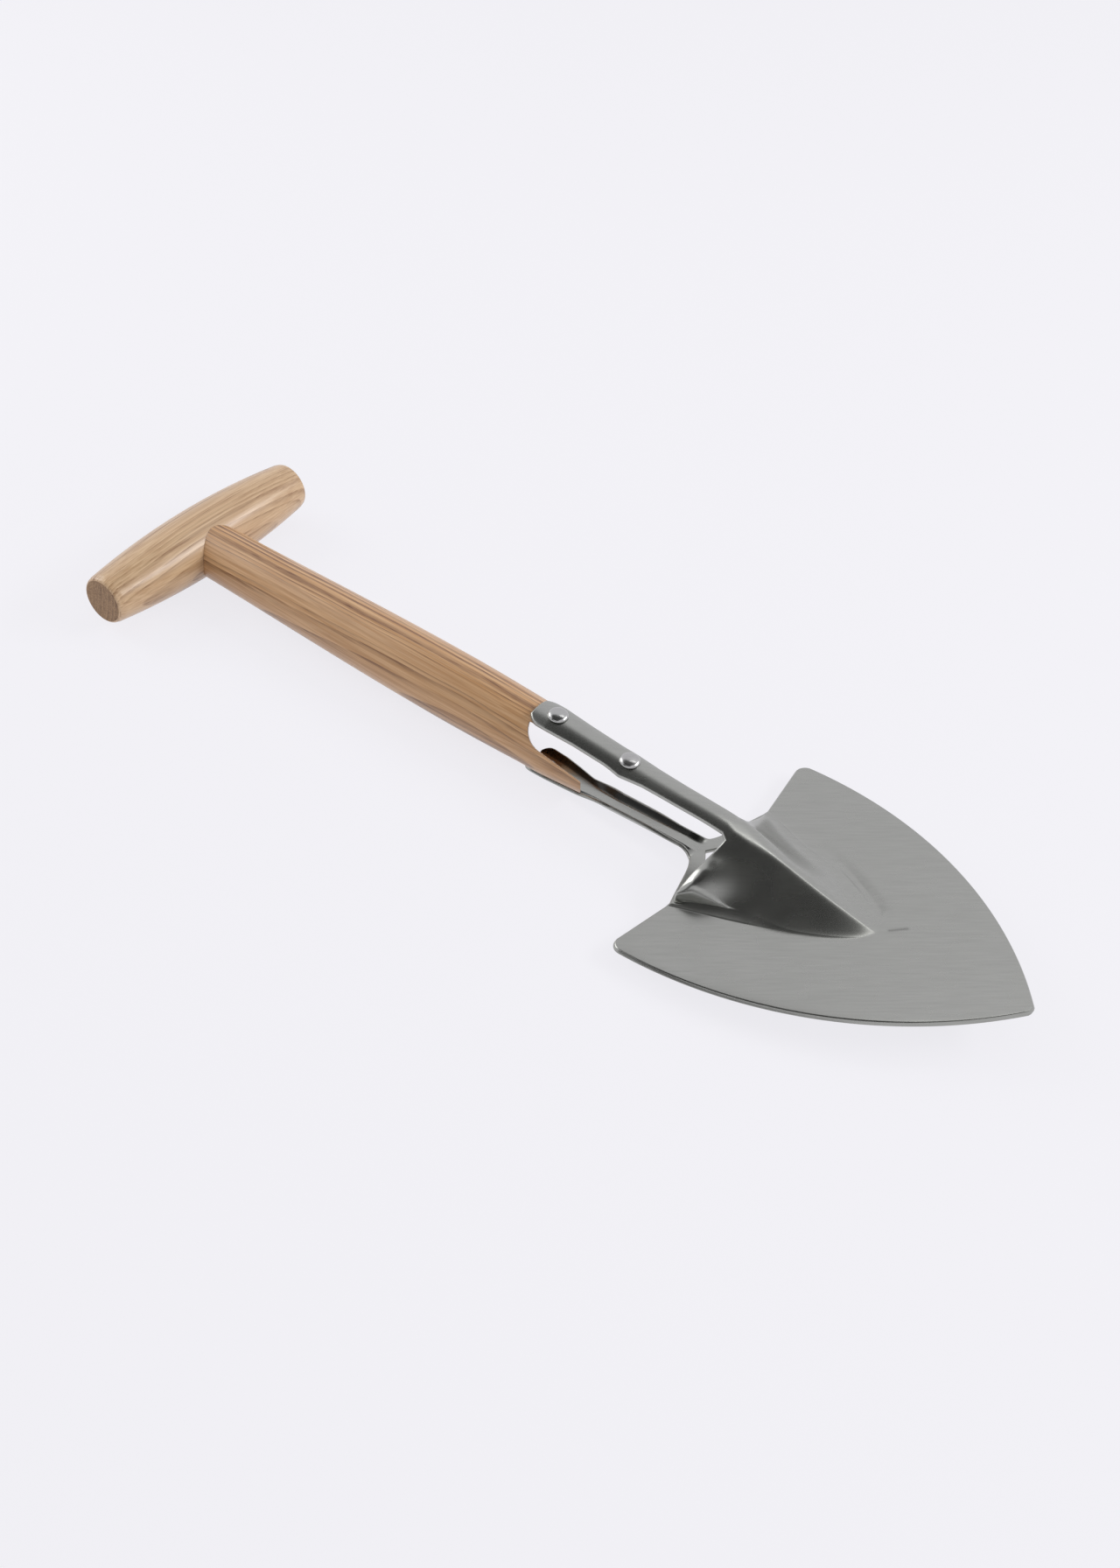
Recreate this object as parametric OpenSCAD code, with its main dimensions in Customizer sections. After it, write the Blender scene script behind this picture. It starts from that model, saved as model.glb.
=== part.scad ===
// Short garden spade: ash cross grip and shaft, pressed steel blade with a hollow ridge and two straps.
// It lies face up. +Z is up, +Y points at the grip, and the origin is under the middle of the whole length.
// Stations run along the shaft: 0 is the grip's axis, and they grow towards the blade's tip.

/* [Grip] */
// Length of the cross grip
grip_len = 140; // [125:1:155]
// Diameter of the grip at its middle
grip_mid_d = 36; // [34.5:0.5:36.5]
// Diameter of the grip at its two ends
grip_end_d = 26; // [22:0.5:30]
// Rounding of the rims at the grip's ends
grip_rim_r = 2; // [1:0.5:3]

/* [Shaft] */
// Shaft diameter where it meets the grip
shaft_top_d = 29; // [26:0.5:31]
// Shaft diameter at its swell
shaft_swell_d = 35.2; // [33.6:0.1:36.4]
// Station of the swell
swell_at = 175; // [150:5:185]
// Shaft diameter under the upper end of the straps
shaft_low_d = 33; // [32:0.5:33.5]
// Diameter of the tenon in the grip
tenon_d = 20; // [17:0.5:22]
// Glue gap round the tenon and in the coped shoulder
glue_gap = 0.1; // [0.05:0.05:0.2]
// Thickness of the tenon's wedge at its outer end
wedge_t = 2.6; // [2:0.1:3.2]

/* [Fork] */
// Radius of the scoop that ends the fork's slot
scoop_r = 12.5; // [11:0.5:13]
// Roll of the slanted fork cut about the shaft
cut_roll = 42.6; // [40:0.2:45]
// Slant of the fork cut out of the shaft's cross section
cut_slant = 24.9; // [22:0.1:28]
// Half width of the front tongue
tongue_half_w = 5; // [4.8:0.1:5.5]
// Length of the front tongue past the straps' upper end
tongue_len = 69; // [66:1:74]
// Height of the tongue's flat underside over the shaft's axis
tongue_under = 10.4; // [10:0.1:10.5]

/* [Straps] */
// Station of the straps' upper end
strap_start = 229; // [220:1:240]
// Length of the front strap down to the neck
strap_len = 116; // [112:1:120]
// Thickness of the steel sheet
sheet_t = 2; // [1.8:0.1:2.2]
// Half width of the front strap at its upper end
strap_half_w = 10; // [9.5:0.1:10.5]
// Half width of the back strap at its upper end
back_half_w = 9.8; // [9.4:0.1:10.2]
// Gap between wood and steel, and between the two steel pieces
seat_gap = 0.05; // [0.05:0.01:0.1]

/* [Blade] */
// Full width of the blade
blade_w = 161.6; // [155:0.2:168]
// Radius of the two arcs that meet at the tip
blade_arc_r = 202; // [190:1:215]
// Half width of the blunt tip
tip_half_w = 2.9; // [2:0.1:4]
// Rounding of the shoulder corners
corner_r = 6; // [5:0.5:7]
// Drop of the blade's face under the shaft's axis at the neck
blade_drop = 10.1; // [9:0.1:11]
// Rise of the blade's face towards the tip, in degrees
blade_lift = 4.9; // [4:0.1:6]
// Length of the ridge on the blade
ridge_len = 81; // [75:1:88]
// Half width of the ridge at the neck
ridge_half_w = 41.4; // [39:0.2:43]

/* [Fastenings] */
// Diameter of the rivets' shanks
rivet_d = 5; // [4.5:0.1:5.2]
// Diameter of the rivets' domed heads
rivet_head_d = 10.4; // [9.5:0.1:11]
// Height of the rivets' domed heads
rivet_head_h = 2.4; // [2:0.1:3]
// Distance from the straps' upper end to the first rivet
rivet_first = 12.5; // [11.5:0.5:14]
// Distance between the two rivets
rivet_pitch = 43.4; // [42:0.2:45]
// Outside diameter of the washers under the rivets' tails
burr_d = 8; // [7.8:0.1:8.2]
// Diameter of the back screws' heads
screw_head_d = 7; // [6:0.2:7.4]
// Diameter of the back screws' shanks
screw_d = 3.6; // [3:0.2:4]

/* [Hidden] */
$fn = 64;

ash = "burlywood";
end_grain = "peru";
satin_steel = "silver";
bright_steel = "gainsboro";

grip_r = grip_mid_d / 2;
grip_sag = grip_r - grip_end_d / 2;
grip_arc_r = (pow(grip_len / 2, 2) + pow(grip_sag, 2)) / (2 * grip_sag);
tenon_r = tenon_d / 2;
neck = strap_start + strap_len;
ridge_tip = neck + ridge_len;
half_w = blade_w / 2;
tip_reach = sqrt(pow(blade_arc_r, 2) - pow(blade_arc_r - half_w + tip_half_w, 2));
tip_round = 0.6;
blade_end = neck + tip_reach + tip_round;
corner_back = 4.2;
corner_at = neck - corner_back;
low_r = shaft_low_d / 2;
fit = 0.1;
past = 40;
cut_top = 3.36;

// The grip's far side and the tip are equally far from the origin, and the straps' heel lies on the ground.
grip_y = (blade_end - grip_r) / 2;
axis_h = low_r + seat_gap + sheet_t;

// Places along the straps, as parts of their length, with sizes as parts of the size at their upper end
taper = [[0, 1], [0.095, 1], [0.49, 0.806], [0.74, 0.745], [1, 0.715]];
front_w = [[0, 1], [0.1, 1], [0.24, 0.9], [0.4, 0.88], [0.435, 0.91], [0.48, 0.97], [0.52, 0.91],
           [0.59, 0.81], [0.7, 0.77], [0.88, 0.74], [1, 0.75]];
back_w = [[0, 0.93], [0.05, 0.98], [0.12, 0.95], [0.2, 0.83], [0.284, 0.68], [0.44, 0.57], [0.733, 0.545],
          [0.8, 0.552]];
back_curve = [[0, 1], [0.095, 1], [0.284, 0.73], [0.44, 0.52], [0.733, 0.48], [0.8, 0.55]];
back_floor = [[0, 1], [0.095, 1], [0.284, 1.01], [0.44, 0.985], [0.733, 0.855], [0.8, 0.82]];

function clamp01(t) = min(1, max(0, t));
function mix(a, b, t) = a + (b - a) * t;
function ease(t) = let(c = clamp01(t)) c * c * (3 - 2 * c);
function bezier(p, t) = pow(1 - t, 3) * p[0] + 3 * pow(1 - t, 2) * t * p[1]
                        + 3 * (1 - t) * t * t * p[2] + pow(t, 3) * p[3];

// A point given by its side distance, station and height over the shaft's axis
function at(x, s, z) = [x, grip_y - s, z + axis_h];

function strap_part(s) = (s - strap_start) / strap_len;
function shaft_r(s) =
    s < swell_at ? mix(shaft_top_d, shaft_swell_d, pow(sin(90 * s / swell_at), 1.5)) / 2
    : s < strap_start
      ? mix(shaft_low_d, shaft_swell_d, cos(90 * (s - swell_at) / (strap_start - swell_at))) / 2
    : low_r * lookup(strap_part(s), taper);
function front_r(s) = shaft_r(s) + seat_gap + sheet_t;

// Blade face, ridge and outline
function face_z(s) = (s - neck) * tan(blade_lift) - blade_drop;
function past_neck(s) = (s - neck) / ridge_len;
ridge_top = front_r(neck) + blade_drop;
crest_blend = 1;
function ridge_line(s) = face_z(s) + ridge_top * pow(max(0, 1 - past_neck(s)), 1.1);
function crest_z(s) =
    s > ridge_tip ? face_z(s)
    : s > neck + ridge_len / 2 ? ridge_line(s)
    : -crest_blend * ln(exp(-ridge_line(s) / crest_blend) + exp(-front_r(s) / crest_blend));
// The ridge is a round arch at its mouth and a wedge with a rounded crest further down.
// A low skirt runs from the foot of its wall to a crease.
// On the +X side the wall is a hollow wedge from the mouth on, and the skirt is faint.
rib_share = 0.29;
rib_half = 9.2;
crest_round = 0.14;
wedge_power = 1.08;
wedge_from = 0.4;
far_power = 1.25;
far_from = 5;
far_over = 10;
far_skirt = 0.2;
skirt_w = 5.2;
mouth_skirt_w = 3.2;
skirt_h = 1.05;
skirt_grow_from = -0.06;
skirt_grow = 0.3;
skirt_fade_from = 0.3;
skirt_fade = 0.35;
foot_power = 0.6;
function ridge_half(s) = ridge_half_w * pow(max(0, 1 - past_neck(s)), foot_power);
function skirt(s) = 1 - ease((past_neck(s) - skirt_fade_from) / skirt_fade);
function wall_x(s) =
    let(grown = ease((past_neck(s) - skirt_grow_from) / skirt_grow))
    max(0, ridge_half(s) - skirt(s) * mix(mouth_skirt_w, skirt_w, grown));
function arch(x, u) =
    let(f = pow(1 - pow(u, 3), 0.6))
    rib_share * min(1, f * 3) / (1 + pow(x / rib_half, 4)) + (1 - rib_share) * f;
function wedge(u, power) =
    let(c = crest_round)
    pow(1 - (norm([u, c]) - c) / (norm([1, c]) - c), power);
function wall(x, s) =
    let(u = abs(x) / max(0.01, wall_x(s)),
        power = x < 0 ? wedge_power : far_power,
        flat_part = x < 0 ? 0 : ease((x - far_from) / far_over),
        round_part = (1 - ease(past_neck(s) / wedge_from)) * (1 - flat_part))
    u >= 1 ? 0 : mix(wedge(u, power), arch(abs(x), u), round_part);
function skirt_z(x, s) =
    let(to_crease = ridge_half(s) - abs(x), h = skirt_h * (x < 0 ? 1 : far_skirt))
    to_crease <= 0 ? 0 : h * skirt(s) * clamp01(to_crease / max(0.01, ridge_half(s) - wall_x(s)));
function top_z(x, s) =
    let(lift = max(0, crest_z(s) - face_z(s)))
    face_z(s) + (s >= ridge_tip ? 0 : max(lift * wall(x, s), skirt_z(x, s)));
function side_x(s) =
    sqrt(max(0, pow(blade_arc_r, 2) - pow(s - neck, 2))) - blade_arc_r + half_w;

// Outline points from a shoulder corner to the tip: side distance and station
corner_steps = 3;
side_steps = 22;
outline = concat(
    [for (i = [0 : corner_steps])
        let(a = 90 * i / corner_steps)
        [side_x(corner_at) - corner_r * (1 - sin(a)), corner_at - corner_r * cos(a)]],
    [for (i = [1 : side_steps])
        let(s = mix(corner_at, neck + tip_reach, pow(i / side_steps, 1.15)))
        [side_x(s), s]],
    [[tip_half_w * 0.6, blade_end]]);

// Sheet nets: lists of rows of top points. Columns run from the -X edge to the +X edge.
rib_cols = 5;
flank_cols = 10;
flat_cols = 5;
half_cols = rib_cols + flank_cols + flat_cols;
neck_step = 1.5;
row_fade = 85;
core_least = 16;
core_margin = 1.02;
core_most = 0.6;
rib_core = 0.23;
function row_core(i) =
    i <= corner_steps ? neck + 1 + neck_step * i
    : let(s = outline[i][1], first = neck + 1 + neck_step * corner_steps - corner_at)
      s + first * pow(max(0, 1 - (s - corner_at) / row_fade), 1.5);
function col_x(k, a, b, e) =
    let(n = abs(k), f = (n - rib_cols) / flank_cols, g = (n - rib_cols - flank_cols) / flat_cols)
    sign(k) * (n <= rib_cols ? a * n / rib_cols
               : n <= rib_cols + flank_cols ? mix(a, b, 1 - pow(1 - f, 1.7))
               : mix(b, e, pow(g, 1.3)));
function blade_row(i) =
    let(e = outline[i][0], so = outline[i][1], sc = row_core(i),
        b = min(max(ridge_half(sc), core_least) * core_margin, core_most * e), a = rib_core * b)
    [for (k = [-half_cols : half_cols])
        let(x = col_x(k, a, b, e), s = mix(sc, so, clamp01((abs(x) - a) / (e - a))))
        at(x, s, top_z(x, s))];

end_r = 7;
strap_stops = concat([0, 0.004, 0.012, 0.026, 0.043, 0.06], [for (i = [1 : 16]) mix(0.06, 0.99, i / 16)]);
function rounded_end(w, d, r) = d < r ? w - r + sqrt(r * r - pow(r - d, 2)) : w;
function front_row(u) =
    let(s = strap_start + u * strap_len, r = front_r(s),
        w = rounded_end(strap_half_w * lookup(u, front_w), u * strap_len, end_r), turn = asin(w / r))
    [for (k = [-rib_cols : rib_cols])
        let(a = turn * k / rib_cols)
        at(r * sin(a), s, r * cos(a) - r + crest_z(s))];

front_rows = [for (u = strap_stops) front_row(u)];
blade_rows = [for (i = [0 : len(outline) - 1]) blade_row(i)];

// Unit normal of a net at row i, column k, where before is the row that the column continues from
function net_normal(rows, i, k, before, after) =
    let(row = rows[i], n = len(row) - 1,
        across = row[min(n, k + 1)] - row[max(0, k - 1)], along = after - before,
        c = cross(along, across))
    c / norm(c);

// A closed sheet from its top points, its bottom points, its cells and its rim edges
module sheet(top, bottom, cells, rim) {
    n = len(top);
    polyhedron(
        points = concat(top, bottom),
        faces = concat(
            [for (c = cells) [c[0], c[1], c[2]]],
            [for (c = cells) [c[0], c[2], c[3]]],
            [for (c = cells) [c[2] + n, c[1] + n, c[0] + n]],
            [for (c = cells) [c[3] + n, c[2] + n, c[0] + n]],
            [for (e = rim) [e[1], e[0], e[0] + n]],
            [for (e = rim) [e[1], e[0] + n, e[1] + n]]),
        convexity = 6);
}

// Draws its children with the shaft's axis as Z: X is the side, Y is up and Z is the station.
module along_shaft() {
    translate([0, grip_y, axis_h]) rotate([90, 0, 0]) children();
}

// Draws its children on the front strap's crest at a station, with Z square to the strap.
module on_front_strap(s) {
    lean = atan((front_r(s - 1) - front_r(s + 1)) / 2);
    along_shaft() translate([0, front_r(s), s]) rotate([lean - 90, 0, 0]) children();
}

// Draws its children under the back strap at a station, with Z pointing up into the shaft.
module under_back_strap(s) {
    along_shaft() translate([0, -front_r(s), s]) rotate([-90, 0, 0]) children();
}

// Barrel of the grip, grown by a gap
module barrel(gap = 0) {
    half = grip_len / 2;
    disc_r = grip_end_d / 2;
    rim = [for (i = [0 : 6])
        let(a = 90 * i / 6)
        [disc_r + gap - grip_rim_r * (1 - sin(a)), half + gap - grip_rim_r * (1 - cos(a))]];
    belly = [for (i = [1 : 23])
        let(x = mix(half - grip_rim_r, grip_rim_r - half, i / 24))
        [grip_r + gap - grip_arc_r + sqrt(pow(grip_arc_r, 2) - x * x), x]];
    far_rim = [for (i = [len(rim) - 1 : -1 : 0]) [rim[i][0], -rim[i][1]]];
    translate([0, grip_y, axis_h]) rotate([0, 90, 0]) rotate_extrude()
        polygon(concat([[0, half + gap]], rim, belly, far_rim, [[0, -half - gap]]));
}

// Tapered slip of wood across the tenon
module wedge_slip() {
    inner_t = 0.8;
    inner_at = 4;
    along_shaft() rotate([90, 0, 0]) linear_extrude(height = tenon_d, center = true)
        polygon([[-wedge_t / 2, -grip_r - 1], [wedge_t / 2, -grip_r - 1],
                 [inner_t / 2, inner_at], [-inner_t / 2, inner_at]]);
}

module t_grip() {
    color(ash) difference() {
        barrel();
        along_shaft() cylinder(h = 4 * grip_r, r = tenon_r + glue_gap, center = true);
    }
}

// Round body of the shaft from the grip's axis to the end of the tongue
module shaft_body() {
    steps = 26;
    last = strap_start + tongue_len;
    stops = [for (i = [0 : steps]) last * i / steps];
    along_shaft() rotate_extrude()
        polygon(concat([[0, 0]], [for (s = stops) [shaft_r(s), s]], [[0, last]]));
}

// Slanted cut that opens the fork: a scoop at its upper end and a ramp down to the back strap
module fork_cut() {
    steps = 12;
    scoop_from = 7.2;
    scoop_low = 7.3;
    scoop_end = 268;
    scoop_at = [scoop_from, scoop_r - scoop_low];
    scoop = [for (i = [0 : steps])
        let(a = mix(180 + asin((scoop_at[1] - cut_top) / scoop_r), scoop_end, i / steps))
        scoop_at + scoop_r * [cos(a), sin(a)]];
    ramp_at = 33;
    ramp_low = -18;
    far_end = 70;
    toe = [2.4, 4];
    ramp = [[ramp_at - toe[0], ramp_low + 2 * toe[1]], [ramp_at, ramp_low + toe[1]], [ramp_at, ramp_low],
            [far_end, ramp_low], [far_end, cut_top]];
    along_shaft() translate([0, 0, strap_start]) rotate([0, 0, cut_roll]) rotate([0, -90, -90])
        rotate([0, cut_slant, 0]) linear_extrude(height = 3 * past, center = true)
            polygon(concat(scoop, ramp));
}

// Clears the wood beside and under the front tongue
module tongue_cut() {
    from = 9;
    slope = 1 / tan(cut_roll);
    along_shaft() translate([0, 0, strap_start + from]) linear_extrude(height = tongue_len) {
        polygon([[-tongue_half_w, tongue_under], [tongue_half_w, tongue_under], [tongue_half_w, past],
                 [past, past], [past, tongue_under - slope * (past + tongue_half_w)]]);
        polygon([[-tongue_half_w, tongue_under], [-tongue_half_w, past], [-past, past],
                 [-past, tongue_under + slope * (past - tongue_half_w)]]);
    }
}

upper_rivet_at = strap_start + rivet_first;
lower_rivet_at = upper_rivet_at + rivet_pitch;
upper_seat = 5.7;
lower_seat = 4.7;
burr_t = 0.8;
tail_h = 1.2;
tail_d = 7;
burr_room = 8;
screw_stops = [strap_start + 3.5, strap_start + 11];
screw_len = 6.2;
screw_head_h = 1.7;
screw_sink = 0.15;

module shaft() {
    color(ash) difference() {
        union() {
            difference() {
                shaft_body();
                barrel(glue_gap);
            }
            along_shaft() cylinder(h = grip_r + 4, r = tenon_r);
            intersection() {
                along_shaft() translate([0, 0, -grip_r - 1]) cylinder(h = grip_r + 1, r = tenon_r);
                barrel();
            }
        }
        wedge_slip();
        fork_cut();
        tongue_cut();
        rivet_room(upper_rivet_at, upper_seat);
        rivet_room(lower_rivet_at, lower_seat);
        for (s = screw_stops) under_back_strap(s) cylinder(h = screw_len + fit, d = screw_d + fit);
    }
}

// Hole and washer seat for one rivet
module rivet_room(s, seat) {
    on_front_strap(s) translate([0, 0, -seat - 1]) cylinder(h = seat + 2, d = rivet_d + fit);
    on_front_strap(s) translate([0, 0, -seat - burr_room]) cylinder(h = burr_room, d = burr_d + 4 * fit);
}

module tenon_wedge() {
    color(end_grain) intersection() {
        wedge_slip();
        along_shaft() cylinder(h = 4 * grip_r, r = tenon_r, center = true);
        barrel();
    }
}

// Blade, ridge and front strap are one pressing.
module blade() {
    ns = len(front_rows);
    nb = len(blade_rows);
    strap_n = 2 * rib_cols + 1;
    blade_n = 2 * half_cols + 1;
    function id(i, k) =
        i < ns ? i * strap_n + k + rib_cols : ns * strap_n + (i - ns) * blade_n + k + half_cols;
    function spot(i, k) = i < ns ? front_rows[i][k + rib_cols] : blade_rows[i - ns][k + half_cols];
    function before(i, k) = i == 0 || (i == ns && abs(k) > rib_cols) ? spot(i, k) : spot(i - 1, k);
    function after(i, k) = i == ns + nb - 1 ? spot(i, k) : spot(i + 1, k);
    function under(i, k) =
        let(rows = i < ns ? front_rows : blade_rows, r = i < ns ? i : i - ns, c = k + reach(i))
        spot(i, k) - sheet_t * net_normal(rows, r, c, before(i, k), after(i, k));
    function reach(i) = i < ns ? rib_cols : half_cols;
    last = ns + nb - 1;
    top = [for (i = [0 : last]) for (k = [-reach(i) : reach(i)]) spot(i, k)];
    bottom = [for (i = [0 : last]) for (k = [-reach(i) : reach(i)]) under(i, k)];
    cells = [for (i = [0 : last - 1]) for (k = [-reach(i) : reach(i) - 1])
        [id(i, k), id(i, k + 1), id(i + 1, k + 1), id(i + 1, k)]];
    rim = concat(
        [for (k = [-rib_cols : rib_cols - 1]) [id(0, k), id(0, k + 1)]],
        [for (i = [0 : last - 1]) [id(i, reach(i)), id(i + 1, reach(i))]],
        [for (i = [0 : last - 1]) [id(i + 1, -reach(i)), id(i, -reach(i))]],
        [for (k = [rib_cols : half_cols - 1]) [id(ns, k), id(ns, k + 1)]],
        [for (k = [-half_cols : -rib_cols - 1]) [id(ns, k), id(ns, k + 1)]],
        [for (k = [-half_cols : half_cols - 1]) [id(last, k + 1), id(last, k)]]);
    color(satin_steel) difference() {
        sheet(top, bottom, cells, rim);
        for (s = [upper_rivet_at, lower_rivet_at])
            on_front_strap(s) cylinder(h = 8, d = rivet_d + fit, center = true);
    }
}

// Back strap: a channel that flares and splits into two wings lying against the blade's back
back_cols = 5;
back_end_r = 5;
flare_steps = 4;
wing_steps = 10;
fork_part = 0.793;
fork_at = strap_start + fork_part * strap_len;
crotch_at = neck - 13;
crotch = 0.3;
wing_flat_from = 3.5;
wing_end_x = 50;
wing_outer = [[lookup(fork_part, back_w) * back_half_w, fork_at], [5.4, neck - 10], [18, neck - 12.6],
              [wing_end_x, neck - 2]];
wing_inner = [[0, crotch_at], [4, neck - 10.5], [14, neck - 1.5], [wing_end_x, neck + 6]];
floor_half_w = 3;
floor_round = 0.35;
trough_from = 0.26;
trough_full = 0.46;
wall_steep = 1.7;
wall_steep_fork = 1.1;
function back_z(s) = face_z(s) - sheet_t / cos(blade_lift) - seat_gap;
function bowl(x, u) =
    let(r = (low_r + seat_gap) * lookup(u, back_curve))
    r - sqrt(max(0, r * r - x * x));
function trough(x, u) =
    mix(wall_steep, wall_steep_fork, ease((u - 0.6) / 0.2))
    * floor_round * ln(1 + exp((abs(x) - floor_half_w) / floor_round));
function channel(x, u) =
    mix(bowl(x, u), trough(x, u), ease((u - trough_from) / (trough_full - trough_from)))
    - (low_r + seat_gap) * lookup(u, back_floor);
function back_row(u) =
    let(s = strap_start + u * strap_len,
        w = rounded_end(back_half_w * lookup(u, back_w), u * strap_len, back_end_r))
    [for (k = [-back_cols : back_cols])
        let(x = w * k / back_cols)
        at(x, s, channel(x, u))];
function wing_middle(t) =
    t > crotch ? bezier(wing_inner, (t - crotch) / (1 - crotch)) : [0, mix(fork_at, crotch_at, t / crotch)];
function wing_spot(side, t, f) =
    let(p = mix(wing_middle(t), bezier(wing_outer, t), f))
    at(side * p[0], p[1], mix(channel(p[0], fork_part), back_z(p[1]), ease(wing_flat_from * t)));
back_stops = concat([0, 0.004, 0.012, 0.024, 0.043], [for (i = [1 : 12]) mix(0.043, fork_part, i / 12)]);
flare_rows = [for (j = [1 : flare_steps])
    [for (k = [-back_cols : back_cols]) wing_spot(sign(k), crotch * j / flare_steps, abs(k) / back_cols)]];
back_rows = concat([for (u = back_stops) back_row(u)], flare_rows);
function wing_row(side, j) =
    [for (k = [0 : back_cols])
        let(f = side < 0 ? 1 - k / back_cols : k / back_cols)
        wing_spot(side, mix(crotch, 1, j / wing_steps), f)];
wing_rows = [for (side = [-1, 1]) [for (j = [1 : wing_steps]) wing_row(side, j)]];

module back_strap() {
    ns = len(back_rows);
    full = 2 * back_cols + 1;
    part = back_cols + 1;
    function id(i, k) = i * full + k + back_cols;
    function wing_id(w, j, k) =
        j == 0 ? id(ns - 1, w == 0 ? k - back_cols : k)
        : ns * full + (w * wing_steps + j - 1) * part + k;
    function drop(rows, i, k, before, after) = rows[i][k] - sheet_t * net_normal(rows, i, k, before, after);
    function root(w, k) = back_rows[ns - 1][w == 0 ? k : k + back_cols];
    strap_under = [for (i = [0 : ns - 1]) for (k = [0 : full - 1])
        drop(back_rows, i, k, back_rows[max(0, i - 1)][k], back_rows[min(ns - 1, i + 1)][k])];
    wing_under = [for (w = [0, 1]) for (j = [0 : wing_steps - 1]) for (k = [0 : back_cols])
        let(rows = wing_rows[w])
        drop(rows, j, k, j == 0 ? root(w, k) : rows[j - 1][k], rows[min(wing_steps - 1, j + 1)][k])];
    top = concat([for (r = back_rows) each r], [for (w = wing_rows) for (r = w) each r]);
    cells = concat(
        [for (i = [0 : ns - 2]) for (k = [-back_cols : back_cols - 1])
            [id(i, k), id(i, k + 1), id(i + 1, k + 1), id(i + 1, k)]],
        [for (w = [0, 1]) for (j = [0 : wing_steps - 1]) for (k = [0 : back_cols - 1])
            [wing_id(w, j, k), wing_id(w, j, k + 1), wing_id(w, j + 1, k + 1), wing_id(w, j + 1, k)]]);
    rim = concat(
        [for (k = [-back_cols : back_cols - 1]) [id(0, k), id(0, k + 1)]],
        [for (i = [0 : ns - 2]) [id(i, back_cols), id(i + 1, back_cols)]],
        [for (i = [0 : ns - 2]) [id(i + 1, -back_cols), id(i, -back_cols)]],
        [for (w = [0, 1]) for (j = [0 : wing_steps - 1])
            [wing_id(w, j, back_cols), wing_id(w, j + 1, back_cols)]],
        [for (w = [0, 1]) for (j = [0 : wing_steps - 1]) [wing_id(w, j + 1, 0), wing_id(w, j, 0)]],
        [for (w = [0, 1]) for (k = [0 : back_cols - 1])
            [wing_id(w, wing_steps, k + 1), wing_id(w, wing_steps, k)]]);
    color(satin_steel) difference() {
        sheet(top, concat(strap_under, wing_under), cells, rim);
        for (s = screw_stops) screw_form(s, fit);
    }
}

// Domed rivet with its shank and peened tail
module rivet(s, seat) {
    dome_r = (pow(rivet_head_d / 2, 2) + pow(rivet_head_h, 2)) / (2 * rivet_head_h);
    color(bright_steel) on_front_strap(s) {
        translate([0, 0, seat_gap]) intersection() {
            translate([0, 0, rivet_head_h - dome_r]) sphere(dome_r);
            cylinder(h = rivet_head_h + 1, d = rivet_head_d + 1);
        }
        translate([0, 0, -seat - burr_t]) cylinder(h = seat + burr_t + 1, d = rivet_d);
        translate([0, 0, -seat - burr_t - tail_h]) cylinder(h = tail_h, d1 = tail_d - 2, d2 = tail_d);
    }
}

module burr(s, seat) {
    color(satin_steel) on_front_strap(s) translate([0, 0, -seat - burr_t]) difference() {
        cylinder(h = burr_t, d = burr_d);
        translate([0, 0, -1]) cylinder(h = burr_t + 2, d = rivet_d + fit);
    }
}

// Countersunk screw, grown by a gap where it stands for its own hole
module screw_form(s, gap = 0) {
    under_back_strap(s) {
        from = gap > 0 ? -1 : screw_sink;
        translate([0, 0, from]) cylinder(h = screw_len - from, d = screw_d + gap);
        translate([0, 0, screw_sink]) cylinder(h = screw_head_h, d1 = screw_head_d + gap, d2 = screw_d + gap);
        if (gap > 0) translate([0, 0, -1]) cylinder(h = 1 + screw_sink, d = screw_head_d + gap);
    }
}

module front_rivet_upper() { rivet(upper_rivet_at, upper_seat); }
module front_rivet_lower() { rivet(lower_rivet_at, lower_seat); }
module front_burr_upper() { burr(upper_rivet_at, upper_seat); }
module front_burr_lower() { burr(lower_rivet_at, lower_seat); }
module back_screw_upper() { color(bright_steel) screw_form(screw_stops[0]); }
module back_screw_lower() { color(bright_steel) screw_form(screw_stops[1]); }

t_grip();
shaft();
tenon_wedge();
blade();
back_strap();
front_rivet_upper();
front_rivet_lower();
front_burr_upper();
front_burr_lower();
back_screw_upper();
back_screw_lower();
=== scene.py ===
"""Looks of a short garden spade: ash cross grip and shaft, pressed steel blade on two straps."""

from __future__ import annotations

import logging
import math
from dataclasses import dataclass
from enum import Enum
from typing import Iterable, Sequence

import bmesh
import bpy
import numpy as np
from mathutils import Matrix, Vector


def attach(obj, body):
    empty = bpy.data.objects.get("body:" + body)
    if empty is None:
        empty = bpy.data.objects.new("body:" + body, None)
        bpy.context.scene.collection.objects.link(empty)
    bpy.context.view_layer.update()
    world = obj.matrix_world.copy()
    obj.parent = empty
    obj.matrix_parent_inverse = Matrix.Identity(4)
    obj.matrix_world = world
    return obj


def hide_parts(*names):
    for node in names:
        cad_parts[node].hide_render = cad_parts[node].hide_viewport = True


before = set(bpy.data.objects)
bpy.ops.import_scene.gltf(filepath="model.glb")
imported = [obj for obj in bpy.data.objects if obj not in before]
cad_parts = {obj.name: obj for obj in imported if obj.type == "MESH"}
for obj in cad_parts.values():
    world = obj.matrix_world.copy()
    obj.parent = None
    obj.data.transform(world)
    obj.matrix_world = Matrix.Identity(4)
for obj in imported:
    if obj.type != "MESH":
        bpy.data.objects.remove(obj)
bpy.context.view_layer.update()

LOG = logging.getLogger("spade")
MM = 0.001
Point = tuple[float, float, float]
Quad = tuple[int, ...]


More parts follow.
